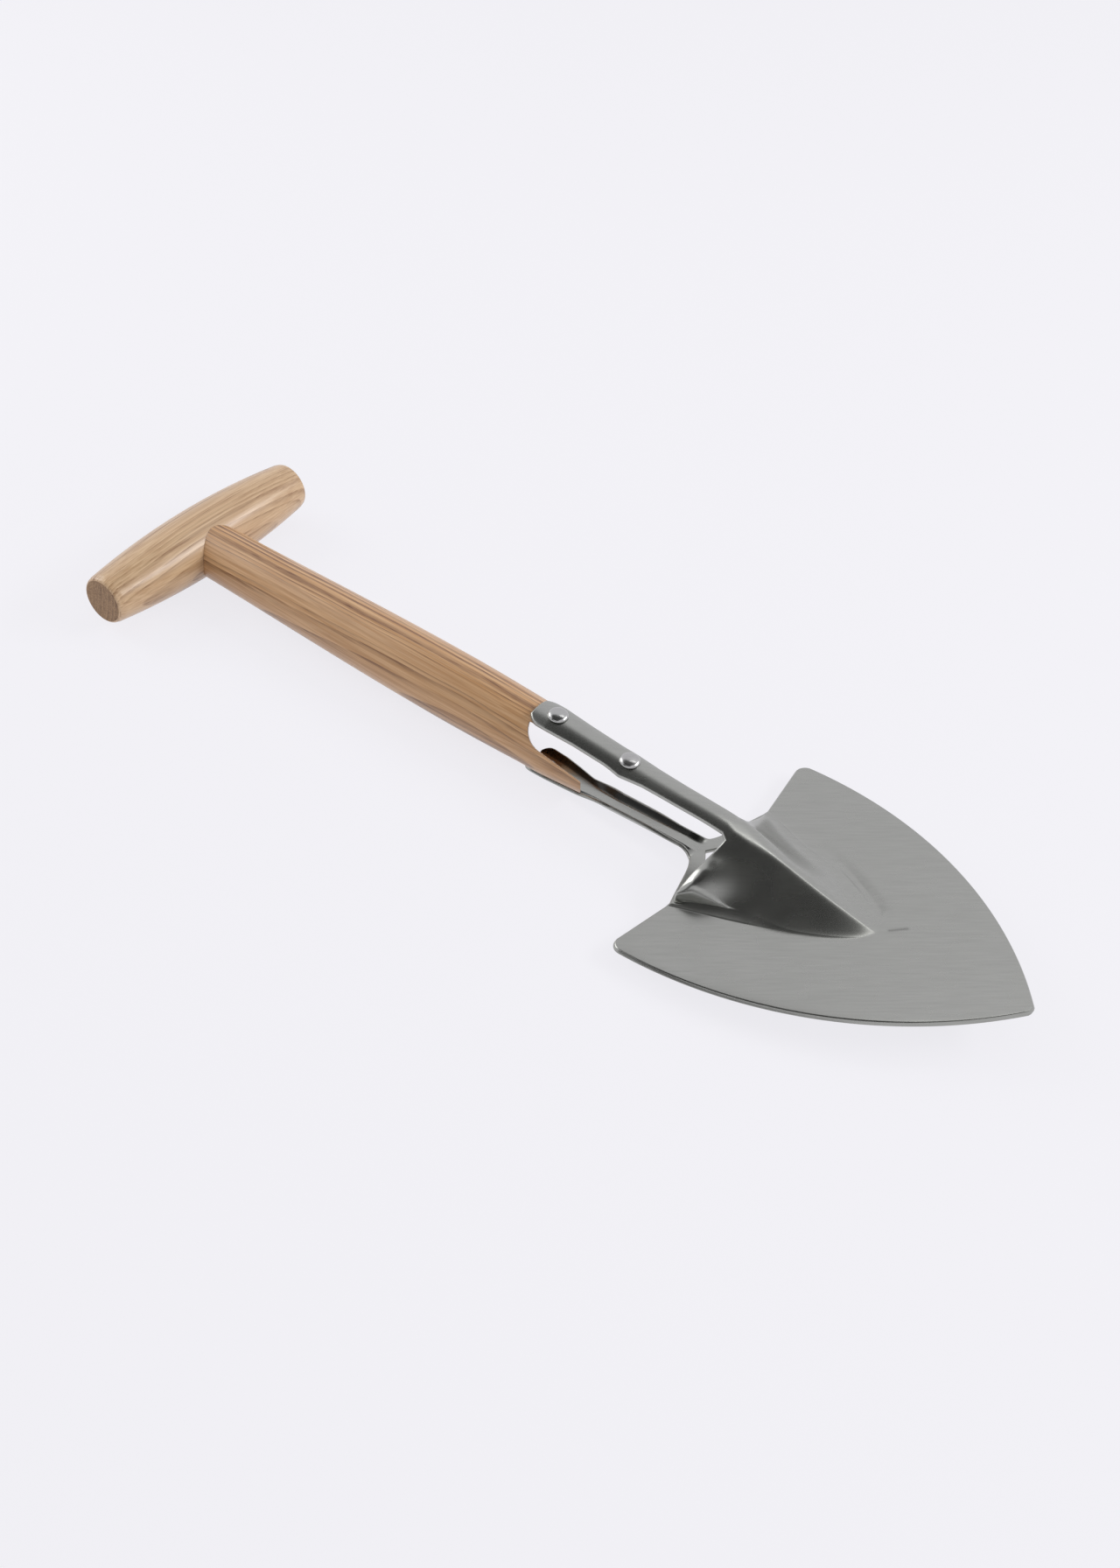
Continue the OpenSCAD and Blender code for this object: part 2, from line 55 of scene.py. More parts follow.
class Grain(Enum):
    """The frame axis that a wooden piece's fibres follow."""

    SIDEWAYS = 0
    LENGTHWISE = 1


def clamp01(t: float) -> float:
    """Keeps t between 0 and 1."""
    return min(1.0, max(0.0, t))


def mix(a: float, b: float, t: float) -> float:
    """Goes from a at t = 0 to b at t = 1."""
    return a + (b - a) * t


def ease(t: float) -> float:
    """Smooth step from 0 to 1."""
    c = clamp01(t)
    return c * c * (3 - 2 * c)


def rise(t: float, span: tuple[float, float]) -> float:
    """Smooth step from 0 at a span's start to 1 at its end."""
    return ease((t - span[0]) / (span[1] - span[0]))


def table(u: float, rows: Sequence[tuple[float, float]]) -> float:
    """Reads a value between the rows of a short table."""
    return float(np.interp(u, [r[0] for r in rows], [r[1] for r in rows]))


def bezier(p: Sequence[tuple[float, float]], t: float) -> tuple[float, float]:
    """Point of a cubic curve.

    Args:
        p: the curve's four control points.
        t: place along the curve, from 0 to 1.

    Returns:
        The point's side distance and station.
    """
    w = ((1 - t) ** 3, 3 * (1 - t) ** 2 * t, 3 * (1 - t) * t * t, t**3)
    return sum(a * q[0] for a, q in zip(w, p)), sum(a * q[1] for a, q in zip(w, p))


def linear(code: str) -> tuple[float, float, float, float]:
    """Turns an sRGB hex colour into linear light.

    Args:
        code: six hex digits, with or without a leading hash.

    Returns:
        Red, green, blue and an alpha of 1.
    """
    raw = [int(code.lstrip("#")[i : i + 2], 16) / 255 for i in (0, 2, 4)]
    rgb = [c / 12.92 if c <= 0.04045 else ((c + 0.055) / 1.055) ** 2.4 for c in raw]
    return rgb[0], rgb[1], rgb[2], 1.0


def add_node(
    tree: bpy.types.NodeTree, kind: str, settings: dict | None = None, **links: object
) -> bpy.types.Node:
    """Adds one node, with its settings and its inputs.

    Args:
        tree: the node tree that gets the node.
        kind: Blender's name for the node type.
        settings: attributes of the node, and input values under the key "inputs".
        links: the socket that feeds each input. An input is named by its own name, with spaces as
            underscores, or by in_ and its index.

    Returns:
        The new node.
    """
    node = tree.nodes.new(kind)
    for key, value in (settings or {}).items():
        if key == "inputs":
            for name, number in value.items():
                node.inputs[name].default_value = number
        elif key == "stops":
            ramp = node.color_ramp
            while len(ramp.elements) < len(value):
                ramp.elements.new(0.5)
            for element, (place, colour) in zip(ramp.elements, value):
                element.position = place
                element.color = colour
        else:
            setattr(node, key, value)
    for name, socket in links.items():
        where = int(name[3:]) if name.startswith("in_") else name.replace("_", " ")
        tree.links.new(socket, node.inputs[where])
    return node


def new_material(name: str) -> tuple[bpy.types.Material, bpy.types.NodeTree, bpy.types.Node]:
    """Makes an empty node material.

    Args:
        name: the material's name.

    Returns:
        The material, its node tree and its shader node.
    """
    material = bpy.data.materials.new(name)
    material.use_nodes = True
    tree = material.node_tree
    return material, tree, tree.nodes["Principled BSDF"]


def bare_tree(owner: bpy.types.Material | bpy.types.World) -> bpy.types.NodeTree:
    """Turns on the nodes of a material or a world and takes away those that it starts with.

    Args:
        owner: the material or the world.

    Returns:
        Its empty node tree.
    """
    owner.use_nodes = True
    owner.node_tree.nodes.clear()
    return owner.node_tree


def calc(
    tree: bpy.types.NodeTree, operation: str, *parts: object, kind: str = "Math"
) -> bpy.types.NodeSocket:
    """Works out one step from sockets and plain values.

    Args:
        tree: the node tree.
        operation: Blender's name for the step.
        parts: the inputs in order, each a socket or a value.
        kind: Math for numbers, VectorMath for vectors.

    Returns:
        The result's socket.
    """
    node = add_node(tree, f"ShaderNode{kind}", {"operation": operation})
    for socket, part in zip(node.inputs, parts):
        if isinstance(part, bpy.types.NodeSocket):
            tree.links.new(part, socket)
        else:
            socket.default_value = part
    return node.outputs["Value" if operation == "LENGTH" else 0]


def spread(
    tree: bpy.types.NodeTree,
    value: bpy.types.NodeSocket,
    span: tuple[float, float],
    onto: tuple[float, float] = (0.0, 1.0),
) -> bpy.types.NodeSocket:
    """Maps a span of values onto another one.

    Args:
        tree: the node tree.
        value: the socket of the value.
        span: the values that are spread.
        onto: what the span's two ends become.

    Returns:
        The result's socket.
    """
    limits = {"From Min": span[0], "From Max": span[1], "To Min": onto[0], "To Max": onto[1]}
    return add_node(tree, "ShaderNodeMapRange", {"inputs": limits}, Value=value).outputs[0]


def mix_shaders(
    tree: bpy.types.NodeTree,
    share: bpy.types.NodeSocket,
    first: bpy.types.Node,
    second: bpy.types.Node,
) -> bpy.types.NodeSocket:
    """Goes from one shader to another.

    Args:
        tree: the node tree.
        share: the socket that is 0 for the first shader and 1 for the second.
        first: the first shader.
        second: the second shader.

    Returns:
        The mixed shader's socket.
    """
    ends = {"in_1": first.outputs[0], "in_2": second.outputs[0]}
    return add_node(tree, "ShaderNodeMixShader", None, in_0=share, **ends).outputs[0]


def place_in_mm(tree: bpy.types.NodeTree) -> bpy.types.NodeSocket:
    """Finds the place on a piece.

    Args:
        tree: the node tree.

    Returns:
        The socket of the point in millimetres of the frame.
    """
    place = add_node(tree, "ShaderNodeTexCoord").outputs["Object"]
    to_mm = {"operation": "SCALE", "inputs": {"Scale": 1 / MM}}
    return add_node(tree, "ShaderNodeVectorMath", to_mm, in_0=place).outputs[0]


def pattern(
    tree: bpy.types.NodeTree, place: bpy.types.NodeSocket, scale: Sequence[float], detail: float
) -> bpy.types.Node:
    """Lays an irregular pattern with its own size along each axis.

    Args:
        tree: the node tree.
        place: the socket of the point in millimetres.
        scale: waves per millimetre along x, y and z.
        detail: octaves of the pattern.

    Returns:
        The pattern's last node.
    """
    sized = calc(tree, "MULTIPLY", place, tuple(scale), kind="VectorMath")
    octaves = {"inputs": {"Scale": 1.0, "Detail": detail}}
    return add_node(tree, "ShaderNodeTexNoise", octaves, Vector=sized)


@dataclass(frozen=True)
class AshWood:
    """Turned and oiled ash: growth rings cut by the lathe show as streaks and long flames.

    The open pores of each ring's early wood read as thin dark dashes along the fibres.
    """

    name: str
    grain: Grain
    pale: str
    body: str
    dark: str
    pith: tuple[float, float]
    ring_mm: float = 3.4
    tilt: float = 0.01
    contrast: float = 0.6
    pore_mm: float = 0.5
    pore_len_mm: float = 12.0
    pore_depth_mm: float = 0.12
    streak_mm: float = 2.4
    streak_len_mm: float = 140.0
    fibre_mm: float = 0.9
    fibre_len_mm: float = 70.0
    drift_mm: float = 45.0
    drift_len_mm: float = 160.0
    wander_mm: float = 9.0
    streak_span: tuple = (0.36, 0.62)
    streak_least: float = 0.25
    pore_span: tuple = (0.5, 0.66)
    pore_tone: float = 0.55
    fibre_span: tuple = (0.36, 0.62)
    ring_tones: tuple = ((0, 1), (0.14, 0.85), (0.4, 0.3), (0.75, 0.06), (0.96, 0), (1, 1))
    years_uneven: float = 3.0
    roughness: float = 0.38
    lacquer: float = 0.3
    lacquer_roughness: float = 0.22

    def material(self) -> bpy.types.Material:
        """Builds the wood.

        Returns:
            The material, in the frame's own coordinates.
        """
        material, tree, shader = new_material(self.name)
        in_mm = place_in_mm(tree)
        early = self.rings(tree, in_mm)
        streaks = pattern(tree, in_mm, self.stretched(self.streak_mm, self.streak_len_mm), 3.0)
        least = (self.streak_least, 1.0)
        streak = spread(tree, streaks.outputs["Fac"], self.streak_span, onto=least)
        pores = pattern(tree, in_mm, self.stretched(self.pore_mm, self.pore_len_mm), 2.0)
        pore = spread(tree, pores.outputs["Fac"], self.pore_span)
        fibres = pattern(tree, in_mm, self.stretched(self.fibre_mm, self.fibre_len_mm), 4.0)
        shades = list(zip(self.fibre_span, (linear(self.body), linear(self.pale))))
        fibre = add_node(tree, "ShaderNodeValToRGB", {"stops": shades}, Fac=fibres.outputs["Fac"])
        banded = calc(tree, "MULTIPLY", early, streak)
        dashes = calc(tree, "MULTIPLY", banded, pore)
        both = calc(tree, "MULTIPLY_ADD", dashes, self.pore_tone, banded)
        colour = add_node(
            tree,
            "ShaderNodeMix",
            {"data_type": "RGBA", "clamp_factor": True, "inputs": {7: linear(self.dark)}},
            in_0=calc(tree, "MULTIPLY", both, self.contrast),
            in_6=fibre.outputs["Color"],
        )
        bump = add_node(
            tree,
            "ShaderNodeBump",
            {"invert": True, "inputs": {"Strength": 0.25, "Distance": self.pore_depth_mm * MM}},
            Height=dashes,
        )
        tree.links.new(colour.outputs[2], shader.inputs["Base Color"])
        tree.links.new(bump.outputs[0], shader.inputs["Normal"])
        shader.inputs["Roughness"].default_value = self.roughness
        shader.inputs["IOR"].default_value = 1.5
        shader.inputs["Coat Weight"].default_value = self.lacquer
        shader.inputs["Coat Roughness"].default_value = self.lacquer_roughness
        return material

    def rings(self, tree: bpy.types.NodeTree, in_mm: bpy.types.NodeSocket) -> bpy.types.NodeSocket:
        """Growth rings about the pith: dark early wood that fades into pale late wood.

        Args:
            tree: the node tree.
            in_mm: the socket of the point in millimetres.

        Returns:
            The socket of the early wood's share.
        """
        along = self.grain.value
        pith = [0.0, 0.0, self.pith[1]]
        pith[1 - along] = self.pith[0]
        keep = [1.0, 1.0, 1.0]
        keep[along] = self.tilt
        drift = pattern(tree, in_mm, self.stretched(self.drift_mm, self.drift_len_mm), 2.0)
        off = calc(tree, "SUBTRACT", drift.outputs["Color"], (0.5, 0.5, 0.5), kind="VectorMath")
        moved = calc(tree, "MULTIPLY_ADD", off, (self.wander_mm,) * 3, in_mm, kind="VectorMath")
        from_pith = calc(tree, "SUBTRACT", moved, pith, kind="VectorMath")
        across = calc(tree, "MULTIPLY", from_pith, keep, kind="VectorMath")
        radius = calc(tree, "LENGTH", across, kind="VectorMath")
        count = calc(tree, "DIVIDE", radius, self.ring_mm)
        years = add_node(
            tree,
            "ShaderNodeTexNoise",
            {"noise_dimensions": "1D", "inputs": {"Scale": 0.4, "Detail": 2.0}},
            W=count,
        )
        uneven = calc(tree, "MULTIPLY_ADD", years.outputs["Fac"], self.years_uneven, count)
        tones = [(at, (v, v, v, 1)) for at, v in self.ring_tones]
        ring = calc(tree, "FRACT", uneven)
        early = add_node(tree, "ShaderNodeValToRGB", {"stops": tones}, Fac=ring)
        return early.outputs["Color"]

    def stretched(self, across: float, along: float) -> list[float]:
        """Scale of a pattern that is drawn out along the fibres.

        Args:
            across: its size across the fibres in millimetres.
            along: its size along them.

        Returns:
            Waves per millimetre along x, y and z.
        """
        scale = [1 / across] * 3
        scale[self.grain.value] = 1 / along
        return scale


@dataclass(frozen=True)
class Stainless:
    """Stainless steel sheet, belt ground to a satin face: hairlines spread its reflections one way.

    The hairlines are drawn coarser than they are, because at this size real ones do not show.
    A point value on the mesh darkens the colour: painted shade in the strap's channel and a crease.
    """

    name: str
    colour: str
    roughness: float
    line_mm: float = 1.1
    line_len_mm: float = 70.0
    line_turn: float = -37.7
    line_tone: float = 0.04
    cloud: float = 0.04
    cloud_mm: float = 28.0
    pattern_span: tuple = (0.3, 0.7)
    painted_shade_share: float = 0.82

    def material(self) -> bpy.types.Material:
        """Builds the steel.

        Returns:
            The material, in the frame's own coordinates.
        """
        material, tree, shader = new_material(self.name)
        in_mm = place_in_mm(tree)
        turned = add_node(
            tree,
            "ShaderNodeMapping",
            {"inputs": {"Rotation": (0, 0, math.radians(self.line_turn))}},
            Vector=in_mm,
        )
        thin = (1 / self.line_mm, 1 / self.line_len_mm, 1 / self.line_mm)
        lines = pattern(tree, turned.outputs[0], thin, 3.0)
        clouds = pattern(tree, in_mm, [1 / self.cloud_mm] * 3, 3.0)
        rough_ends = (self.roughness - self.cloud, self.roughness + self.cloud)
        rough = spread(tree, clouds.outputs["Fac"], self.pattern_span, rough_ends)
        tone_ends = (1 - self.line_tone, 1 + self.line_tone)
        tone = spread(tree, lines.outputs["Fac"], self.pattern_span, tone_ends)
        # Painted shade: the mesh's point value darkens the base colour.
        dull = add_node(tree, "ShaderNodeAttribute", {"attribute_name": "dull"})
        dimmed = calc(tree, "MULTIPLY_ADD", dull.outputs["Fac"], -self.painted_shade_share, 1.0)
        colour = add_node(
            tree,
            "ShaderNodeVectorMath",
            {"operation": "SCALE", "inputs": {0: linear(self.colour)[:3]}},
            Scale=calc(tree, "MULTIPLY", tone, dimmed),
        )
        tree.links.new(colour.outputs[0], shader.inputs["Base Color"])
        tree.links.new(rough, shader.inputs["Roughness"])
        shader.inputs["Metallic"].default_value = 1.0
        return material


class Finishes:
    """The spade's finishes, each built once."""

    def __init__(self) -> None:
        """Builds every material."""
        # Turned and lacquered ash: pale, with a soft shine along the barrel.
        self.grip = AshWood(
            "ash_turned_lacquered_grip",
            Grain.SIDEWAYS,
            "#E3C29B",
            "#CFAA83",
            "#936842",
            (288.0, 24.0),
            ring_mm=2.2,
            tilt=0.05,
            contrast=0.65,
            lacquer=0.5,
        ).material()
        # Sawn end grain drinks the oil: darker, and dull.
        self.grip_end = AshWood(
            "ash_end_grain",
            Grain.SIDEWAYS,
            "#B89674",
            "#957455",
            "#583C28",
            (288.0, 24.0),
            ring_mm=1.8,
            roughness=0.6,
            lacquer=0.0,
        ).material()
        # Turned and oiled ash: warmer, with longer and darker flames.
        self.shaft = AshWood(
            "ash_turned_lacquered_shaft",
            Grain.LENGTHWISE,
            "#E0B588",
            "#C79767",
            "#6C4228",
            (58.0, 40.0),
            contrast=0.75,
        ).material()
        # Hardwood wedge seen end on: dark and dull.
        self.wedge = AshWood(
            "hardwood_wedge",
            Grain.LENGTHWISE,
            "#8C6A4C",
            "#7A5A3E",
            "#553B28",
            (20.0, 10.0),
            ring_mm=1.6,
            roughness=0.6,
            lacquer=0.0,
        ).material()
        # Satin ground stainless sheet: a soft grey sheen that keeps broad reflections.
        self.steel = Stainless("stainless_satin_ground", "#A6A7A2", 0.27).material()
        # Headed stainless of rivets and screws: smoother, with brighter glints.
        self.bright = Stainless("stainless_satin_headed", "#B4B4B2", 0.24, line_mm=0.5).material()


@dataclass(frozen=True)
class Flank:
    """Shape of one side of the ridge, in millimetres.

    The power is over 1 where the wall is hollow. The groove lies beyond the crease at the foot.
    """

    power: float
    skirt: float
    lip_drop: float
    round_to: float
    run_out: float
    groove_first: float
    groove_last: float
    groove_off: float
    groove_w: float


NEAR_FLANK = Flank(
    power=0.97,
    skirt=1.0,
    lip_drop=4.6,
    round_to=1000.0,
    run_out=0.9,
    groove_first=0.12,
    groove_last=0.12,
    groove_off=2.5,
    groove_w=2.2,
)
FAR_FLANK = Flank(
    power=1.25,
    skirt=0.0,
    lip_drop=0.0,
    round_to=5.0,
    run_out=2.4,
    groove_first=0.5,
    groove_last=1.1,
    groove_off=3.4,
    groove_w=2.5,
)


@dataclass(frozen=True)
class Layout:
    """Sizes that several pieces share, in millimetres.

    Stations run from the grip's axis towards the blade's tip.
    """

    grip_len: float = 140.0
    grip_mid_r: float = 18.0
    grip_end_r: float = 13.0
    grip_rim_r: float = 2.0
    top_d: float = 29.0
    swell_d: float = 35.2
    low_d: float = 33.0
    swell_at: float = 175.0
    strap_start: float = 229.0
    strap_len: float = 116.0
    sheet_t: float = 2.0
    seat_gap: float = 0.05
    tenon_r: float = 10.0
    half_w: float = 80.8
    arc_r: float = 202.0
    tip_half_w: float = 2.9
    tip_round: float = 0.6
    blade_drop: float = 10.1
    blade_lift: float = 4.9
    ridge_len: float = 81.0
    ridge_half_w: float = 41.4
    rib_half: float = 9.2
    rib_share: float = 0.29
    crest_round: float = 0.14
    crest_power: float = 1.1
    crease_power: float = 0.6
    mouth_past: float = 1.0
    mouth_flat: float = 9.6
    mouth_slant: float = 0.172
    foot_round: tuple = (0.8, 1.8)
    foot_sharp: float = 0.4
    skirt_w: float = 5.2
    mouth_skirt_w: float = 3.2
    skirt_h: float = 1.05
    crease_h: float = 0.22
    arch_power: float = 4.2
    arch_root: float = 0.36
    wedge_from: float = 0.4
    lip_reach: float = 7.0
    lip_from: float = 12.0
    lip_run: float = 22.0
    mark_depth: float = 0.06
    mark_from: tuple = (4.5, 430.2)
    mark_run: tuple = (5.9, 5.7)
    mark_way: tuple = (0.72, 0.69)
    mark_len: float = 8.2
    mark_w: float = 0.6
    taper: tuple = ((0, 1), (0.095, 1), (0.49, 0.806), (0.74, 0.745), (1, 0.715))

    @property
    def neck(self) -> float:
        """Station where the strap meets the blade."""
        return self.strap_start + self.strap_len

    @property
    def tip_reach(self) -> float:
        """Distance from the neck to the start of the blunt tip."""
        return math.sqrt(self.arc_r**2 - (self.arc_r - self.half_w + self.tip_half_w) ** 2)

    @property
    def blade_end(self) -> float:
        """Station of the tip."""
        return self.neck + self.tip_reach + self.tip_round

    @property
    def grip_y(self) -> float:
        """Place of the grip's axis along Y."""
        return (self.blade_end - self.grip_mid_r) / 2

    @property
    def axis_h(self) -> float:
        """Height of the shaft's axis over the ground."""
        return self.low_d / 2 + self.seat_gap + self.sheet_t

    @property
    def grip_arc_r(self) -> float:
        """Radius of the barrel's long arc."""
        sag = self.grip_mid_r - self.grip_end_r
        return ((self.grip_len / 2) ** 2 + sag**2) / (2 * sag)

    def at(self, x: float, s: float, z: float) -> Point:
        """Frame point of a side distance, a station and a height over the shaft's axis."""
        return x, self.grip_y - s, z + self.axis_h

    def grip_r(self, x: float) -> float:
        """Radius of the grip's barrel at a side distance."""
        return self.grip_mid_r - self.grip_arc_r + math.sqrt(self.grip_arc_r**2 - x * x)

    def shaft_r(self, s: float) -> float:
        """Radius of the shaft, with its slow swell.

        Args:
            s: station.

        Returns:
            The radius.
        """
        if s < self.swell_at:
            grown = math.sin(math.pi / 2 * max(0.0, s) / self.swell_at) ** 1.5
            return mix(self.top_d, self.swell_d, grown) / 2
        if s < self.strap_start:
            part = (s - self.swell_at) / (self.strap_start - self.swell_at)
            return mix(self.low_d, self.swell_d, math.cos(math.pi / 2 * part)) / 2
        return self.low_d / 2 * table((s - self.strap_start) / self.strap_len, self.taper)

    def front_r(self, s: float) -> float:
        """Radius of the front strap's outer face."""
        return self.shaft_r(s) + self.seat_gap + self.sheet_t

    def past_neck(self, s: float) -> float:
        """Place along the ridge, from 0 at the neck to 1 at its tip."""
        return (s - self.neck) / self.ridge_len

    def face_z(self, s: float) -> float:
        """Height of the blade's flat face over the shaft's axis."""
        return (s - self.neck) * math.tan(math.radians(self.blade_lift)) - self.blade_drop

    def crest_z(self, s: float) -> float:
        """Height of the ridge's crest, which runs into the front strap.

        Args:
            s: station.

        Returns:
            The height over the shaft's axis.
        """
        v = self.past_neck(s)
        if v > 1:
            return self.face_z(s)
        top = self.front_r(self.neck) + self.blade_drop
        line = self.face_z(s) + top * (1 - v) ** self.crest_power
        return line if v > 0.5 else -math.log(math.exp(-line) + math.exp(-self.front_r(s)))

    def crease_x(self, s: float) -> float:
        """Side distance of the thin crease round the ridge's foot."""
        return self.ridge_half_w * max(0.0, 1 - self.past_neck(s)) ** self.crease_power

    def skirt(self, s: float) -> float:
        """Strength of the soft skirt between the wall and the crease, from 1 at the mouth to 0."""
        return 1 - ease((self.past_neck(s) - 0.3) / 0.35)

    def wall_x(self, s: float) -> float:
        """Side distance of the foot of the ridge's wall."""
        reach = mix(self.mouth_skirt_w, self.skirt_w, ease((self.past_neck(s) + 0.06) / 0.3))
        return max(0.0, self.crease_x(s) - reach * self.skirt(s))

    def mouth_s(self, x: float) -> float:
        """Station of the blade's upper edge, where the ridge's mouth opens."""
        aside = max(0.0, abs(x) - self.mouth_flat)
        return self.neck + self.mouth_past - self.mouth_slant * aside

    def top_z(self, x: float, s: float) -> float:
        """Height of the blade's upper face: flat, with the ridge and its soft foot.

        Args:
            x: side distance, below 0 on the near side.
            s: station.

        Returns:
            The height over the shaft's axis.
        """
        v = self.past_neck(s)
        face = self.face_z(s) - self.mark_depth * self.press_mark(x, s)
        lift = max(0.0, self.crest_z(s) - self.face_z(s))
        if v >= 1 or lift == 0:
            return face
        flank = NEAR_FLANK if x < 0 else FAR_FLANK
        x = abs(x)
        wall, low = self.wall_z(x, s, lift, flank), self.skirt_z(x, s, flank)
        blend = mix(*self.foot_round, ease(v / 0.15)) * min(1.0, lift / 6)
        blend *= mix(1, self.foot_sharp, ease((v - 0.4) / 0.3))
        top = max(wall, low)
        both = math.exp((wall - top) / blend) + math.exp((low - top) / blend)
        raised = top + blend * math.log(both)
        return face + raised - self.lip(x, s, flank) - self.groove(x, s, flank)

    def wall_z(self, x: float, s: float, lift: float, flank: Flank) -> float:
        """Height of the ridge's wall over the flat: a round arch at the mouth, then a wedge.

        Args:
            x: side distance, without its sign.
            s: station.
            lift: height of the crest over the flat.
            flank: the side's shape.

        Returns:
            The height, which is below 0 past the wall's foot.
        """
        u = x / max(0.01, self.wall_x(s))
        if u >= 1:
            return -2 * lift * (u - 1)
        arch = (1 - u**self.arch_power) ** self.arch_root
        rib = 1 / (1 + (x / self.rib_half) ** 4)
        crown = self.rib_share * rib * min(1.0, arch * 3) + (1 - self.rib_share) * arch
        c = self.crest_round
        wedge = (1 - (math.hypot(u, c) - c) / (math.hypot(1, c) - c)) ** flank.power
        round_part = 1 - ease(self.past_neck(s) / self.wedge_from)
        round_part *= 1 - ease((x - flank.round_to) / 10)
        return lift * mix(wedge, crown, round_part)

    def skirt_z(self, x: float, s: float, flank: Flank) -> float:
        """Height of the soft skirt between the wall's foot and the crease.

        Args:
            x: side distance, without its sign.
            s: station.
            flank: the side's shape.

        Returns:
            The height over the flat.
        """
        foot, crease = self.wall_x(s), self.crease_x(s)
        strength = self.skirt(s) * flank.skirt
        if x > crease:
            return self.crease_h * strength * (1 - ease((x - crease) / flank.run_out))
        slope = (self.skirt_h - self.crease_h) / self.skirt_w
        part = clamp01((x - foot) / max(0.01, crease - foot))
        return strength * (mix(self.skirt_h, self.crease_h, part) + slope * max(0.0, foot - x))

    def groove(self, x: float, s: float, flank: Flank) -> float:
        """Depth of the soft groove beyond the crease, which fades out at the mouth and at the tip.

        Args:
            x: side distance, without its sign.
            s: station.
            flank: the side's shape.

        Returns:
            The depth under the flat.
        """
        v = self.past_neck(s)
        deep = mix(flank.groove_first, flank.groove_last, ease((v - 0.4) / 0.4))
        lean = math.hypot(1, (self.crease_x(s + 0.5) - self.crease_x(s - 0.5)))
        away = max(0.0, x - self.crease_x(s)) / lean
        shown = deep * ease((v - 0.15) / 0.4) * ease((1 - v) / 0.05)
        return shown * math.exp(-(((away - flank.groove_off) / flank.groove_w) ** 2))

    def lip(self, x: float, s: float, flank: Flank) -> float:
        """Drop of the rolled lip along the ridge's mouth, which the press leaves a little uneven.

        Args:
            x: side distance, without its sign.
            s: station.
            flank: the side's shape.

        Returns:
            The drop of the face.
        """
        reach = self.lip_reach + 0.4 * math.sin(0.9 * x)
        depth = clamp01(1 - (s - self.mouth_s(x)) / reach)
        inside = clamp01((x - self.lip_from) / self.lip_run) ** 1.2
        inside *= ease((self.wall_x(s) + 2.5 - x) / 5)
        return flank.lip_drop * depth**1.5 * inside

    def press_mark(self, x: float, s: float) -> float:
        """Share of the small crease just past the ridge's tip, pressed in and darkened with painted
        shade.

        Args:
            x: side distance.
            s: station.

        Returns:
            1 on the crease's line, and 0 away from it.
        """
        x0, s0 = self.mark_from
        way, run = self.mark_way, self.mark_run
        along = clamp01(((x - x0) * way[0] + (s - s0) * way[1]) / self.mark_len)
        dx, ds = x - (x0 + run[0] * along), s - (s0 + run[1] * along)
        return math.exp(-(dx * dx + ds * ds) / self.mark_w)

    def side_x(self, s: float) -> float:
        """Half width of the blade's outline."""
        return math.sqrt(max(0.0, self.arc_r**2 - (s - self.neck) ** 2)) - self.arc_r + self.half_w

    def along_shaft(self) -> Matrix:
        """Matrix from side, up and station to the frame."""
        middle = Matrix.Translation((0, self.grip_y, self.axis_h))
        return middle @ Matrix.Rotation(math.pi / 2, 4, "X")

    def along_grip(self) -> Matrix:
        """Matrix that lays a turned piece's axis along the grip."""
        middle = Matrix.Translation((0, self.grip_y, self.axis_h))
        return middle @ Matrix.Rotation(math.pi / 2, 4, "Y")

    def on_strap(self, s: float) -> Matrix:
        """Matrix of a fastening on the front strap's crest, square to the strap."""
        lean = math.atan((self.front_r(s - 1) - self.front_r(s + 1)) / 2)
        return Matrix.Translation(self.at(0, s, self.front_r(s))) @ Matrix.Rotation(lean, 4, "X")

    def under_strap(self, s: float) -> Matrix:
        """Matrix of a fastening under the back strap, with Z up into the wood."""
        return Matrix.Translation(self.at(0, s, -self.front_r(s)))


def mesh_object(
    name: str, points: Sequence[Point], faces: Sequence[Quad], place: Matrix | None = None
) -> bpy.types.Object:
    """Makes a mesh object from points in millimetres.

    Args:
        name: the object's name.
        points: vertices in millimetres.
        faces: vertex numbers of each face.
        place: matrix in millimetres that moves the points into the frame.

    Returns:
        The object, linked to the scene, with its place in its vertices.
    """
    mesh = bpy.data.meshes.new(name)
    mesh.from_pydata([tuple(p) for p in points], [], [tuple(f) for f in faces])
    if place is not None:
        mesh.transform(place)
    mesh.transform(Matrix.Scale(MM, 4))
    mesh.validate()
    made = bpy.data.objects.new(name, mesh)
    bpy.context.scene.collection.objects.link(made)
    return made


def smooth(piece: bpy.types.Object, angle: float = 40.0) -> None:
    """Shades a piece smooth, with its edges over an angle left sharp."""
    piece.data.shade_smooth()
    piece.data.set_sharp_from_angle(angle=math.radians(angle))


def soften(piece: bpy.types.Object, width: float, angle: float = 50.0, steps: int = 3) -> None:
    """Rounds a piece's sharp edges.

    Args:
        piece: the mesh object.
        width: width of the rounding in millimetres.
        angle: edges that turn by more than this many degrees are rounded.
        steps: rows of faces on each rounding.
    """
    work = bmesh.new()
    work.from_mesh(piece.data)
    bmesh.ops.recalc_face_normals(work, faces=work.faces)
    sharp = [
        e for e in work.edges if e.is_manifold and e.calc_face_angle(0.0) > math.radians(angle)
    ]
    bmesh.ops.bevel(
        work,
        geom=sharp,
        offset=width * MM,
        segments=steps,
        profile=0.5,
        affect="EDGES",
        clamp_overlap=True,
    )
    work.to_mesh(piece.data)
    work.free()


def circle(turns: int) -> list[tuple[float, float]]:
    """Cosine and sine of the points round a ring."""
    return [
        (math.cos(2 * math.pi * j / turns), math.sin(2 * math.pi * j / turns)) for j in range(turns)
    ]


